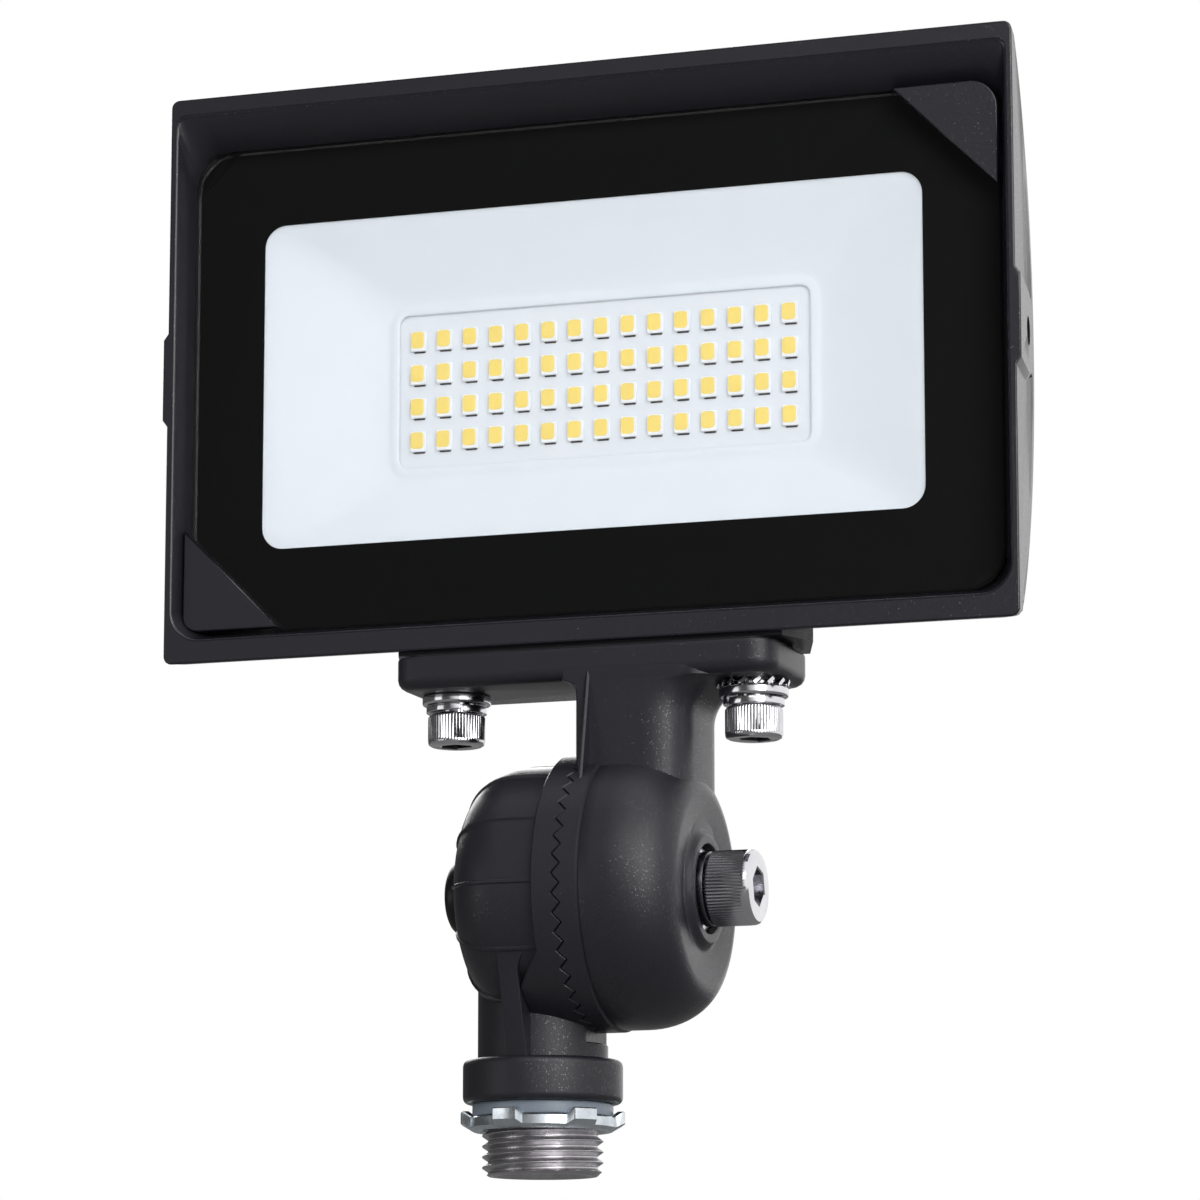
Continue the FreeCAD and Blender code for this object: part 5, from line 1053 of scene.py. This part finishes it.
# %% [markdown]
# The key light is a large softbox on the right: it whitens the right wall, the metals and the rounded edges. Front
# and fill keep the left side readable, and lamps above and behind lift the fins.

# %% Lamps
AIM = Vector((0.0, 0.0, 0.1))


def softbox(name, place, width, height, power):
    """Rectangular lamp at a place, facing the object, in metres and watts; the camera doesn't see it."""
    lamp = in_scene(name, bpy.data.lights.new(name, "AREA"))
    lamp.data.shape = "RECTANGLE"
    lamp.data.size = width
    lamp.data.size_y = height
    lamp.data.energy = power
    lamp.visible_camera = False
    lamp.location = place
    lamp.rotation_euler = (AIM - Vector(place)).to_track_quat("-Z", "Y").to_euler()


softbox("key", (0.78, -0.83, 0.42), 0.6, 0.95, 5.9)
softbox("front", (0.2, -1.1, 0.7), 0.4, 0.4, 1.4)
softbox("fill", (-0.9, -0.9, 0.05), 0.6, 0.6, 1.2)
softbox("top", (0.0, 0.1, 1.3), 1.2, 0.6, 2.0)
softbox("rear", (-0.7, 1.0, 0.8), 0.8, 0.8, 6.0)
print("5 softboxes")

# %% [markdown]
# The studio is white to the camera. Shiny surfaces see a bright right side and rear and a dim left front, which
# keeps the glass border black and gives the metals their contrast.

# %% World
DIM, WHITE, AMBIENT = 0.08, 1.0, 0.24  # dark side, bright side, plain light
world = bpy.data.worlds.new("studio")
scene.world = world
world.use_nodes = True
tree = world.node_tree
way = add(tree, "ShaderNodeTexCoord").outputs["Generated"]
bright = Vector((0.97, 0.2, 0.1)).normalized()
toward = add(tree, VECTOR, {0: way, 1: bright}, operation="DOT_PRODUCT").outputs["Value"]
panels = ranged(tree, toward, -0.3, 0.15, DIM, WHITE)
ray, seen = viewed(tree)
gloss = add(tree, "ShaderNodeMix", {0: ray.outputs["Is Glossy Ray"], 2: AMBIENT, 3: panels}).outputs[0]
strength = add(tree, "ShaderNodeMix", {0: seen, 2: gloss, 3: WHITE}).outputs[0]
sky = tree.nodes["Background"]
sky.inputs["Color"].default_value = linear("#ffffff")
feed(tree, sky, Strength=strength)
scene.view_settings.view_transform = "Standard"
print("studio ready")
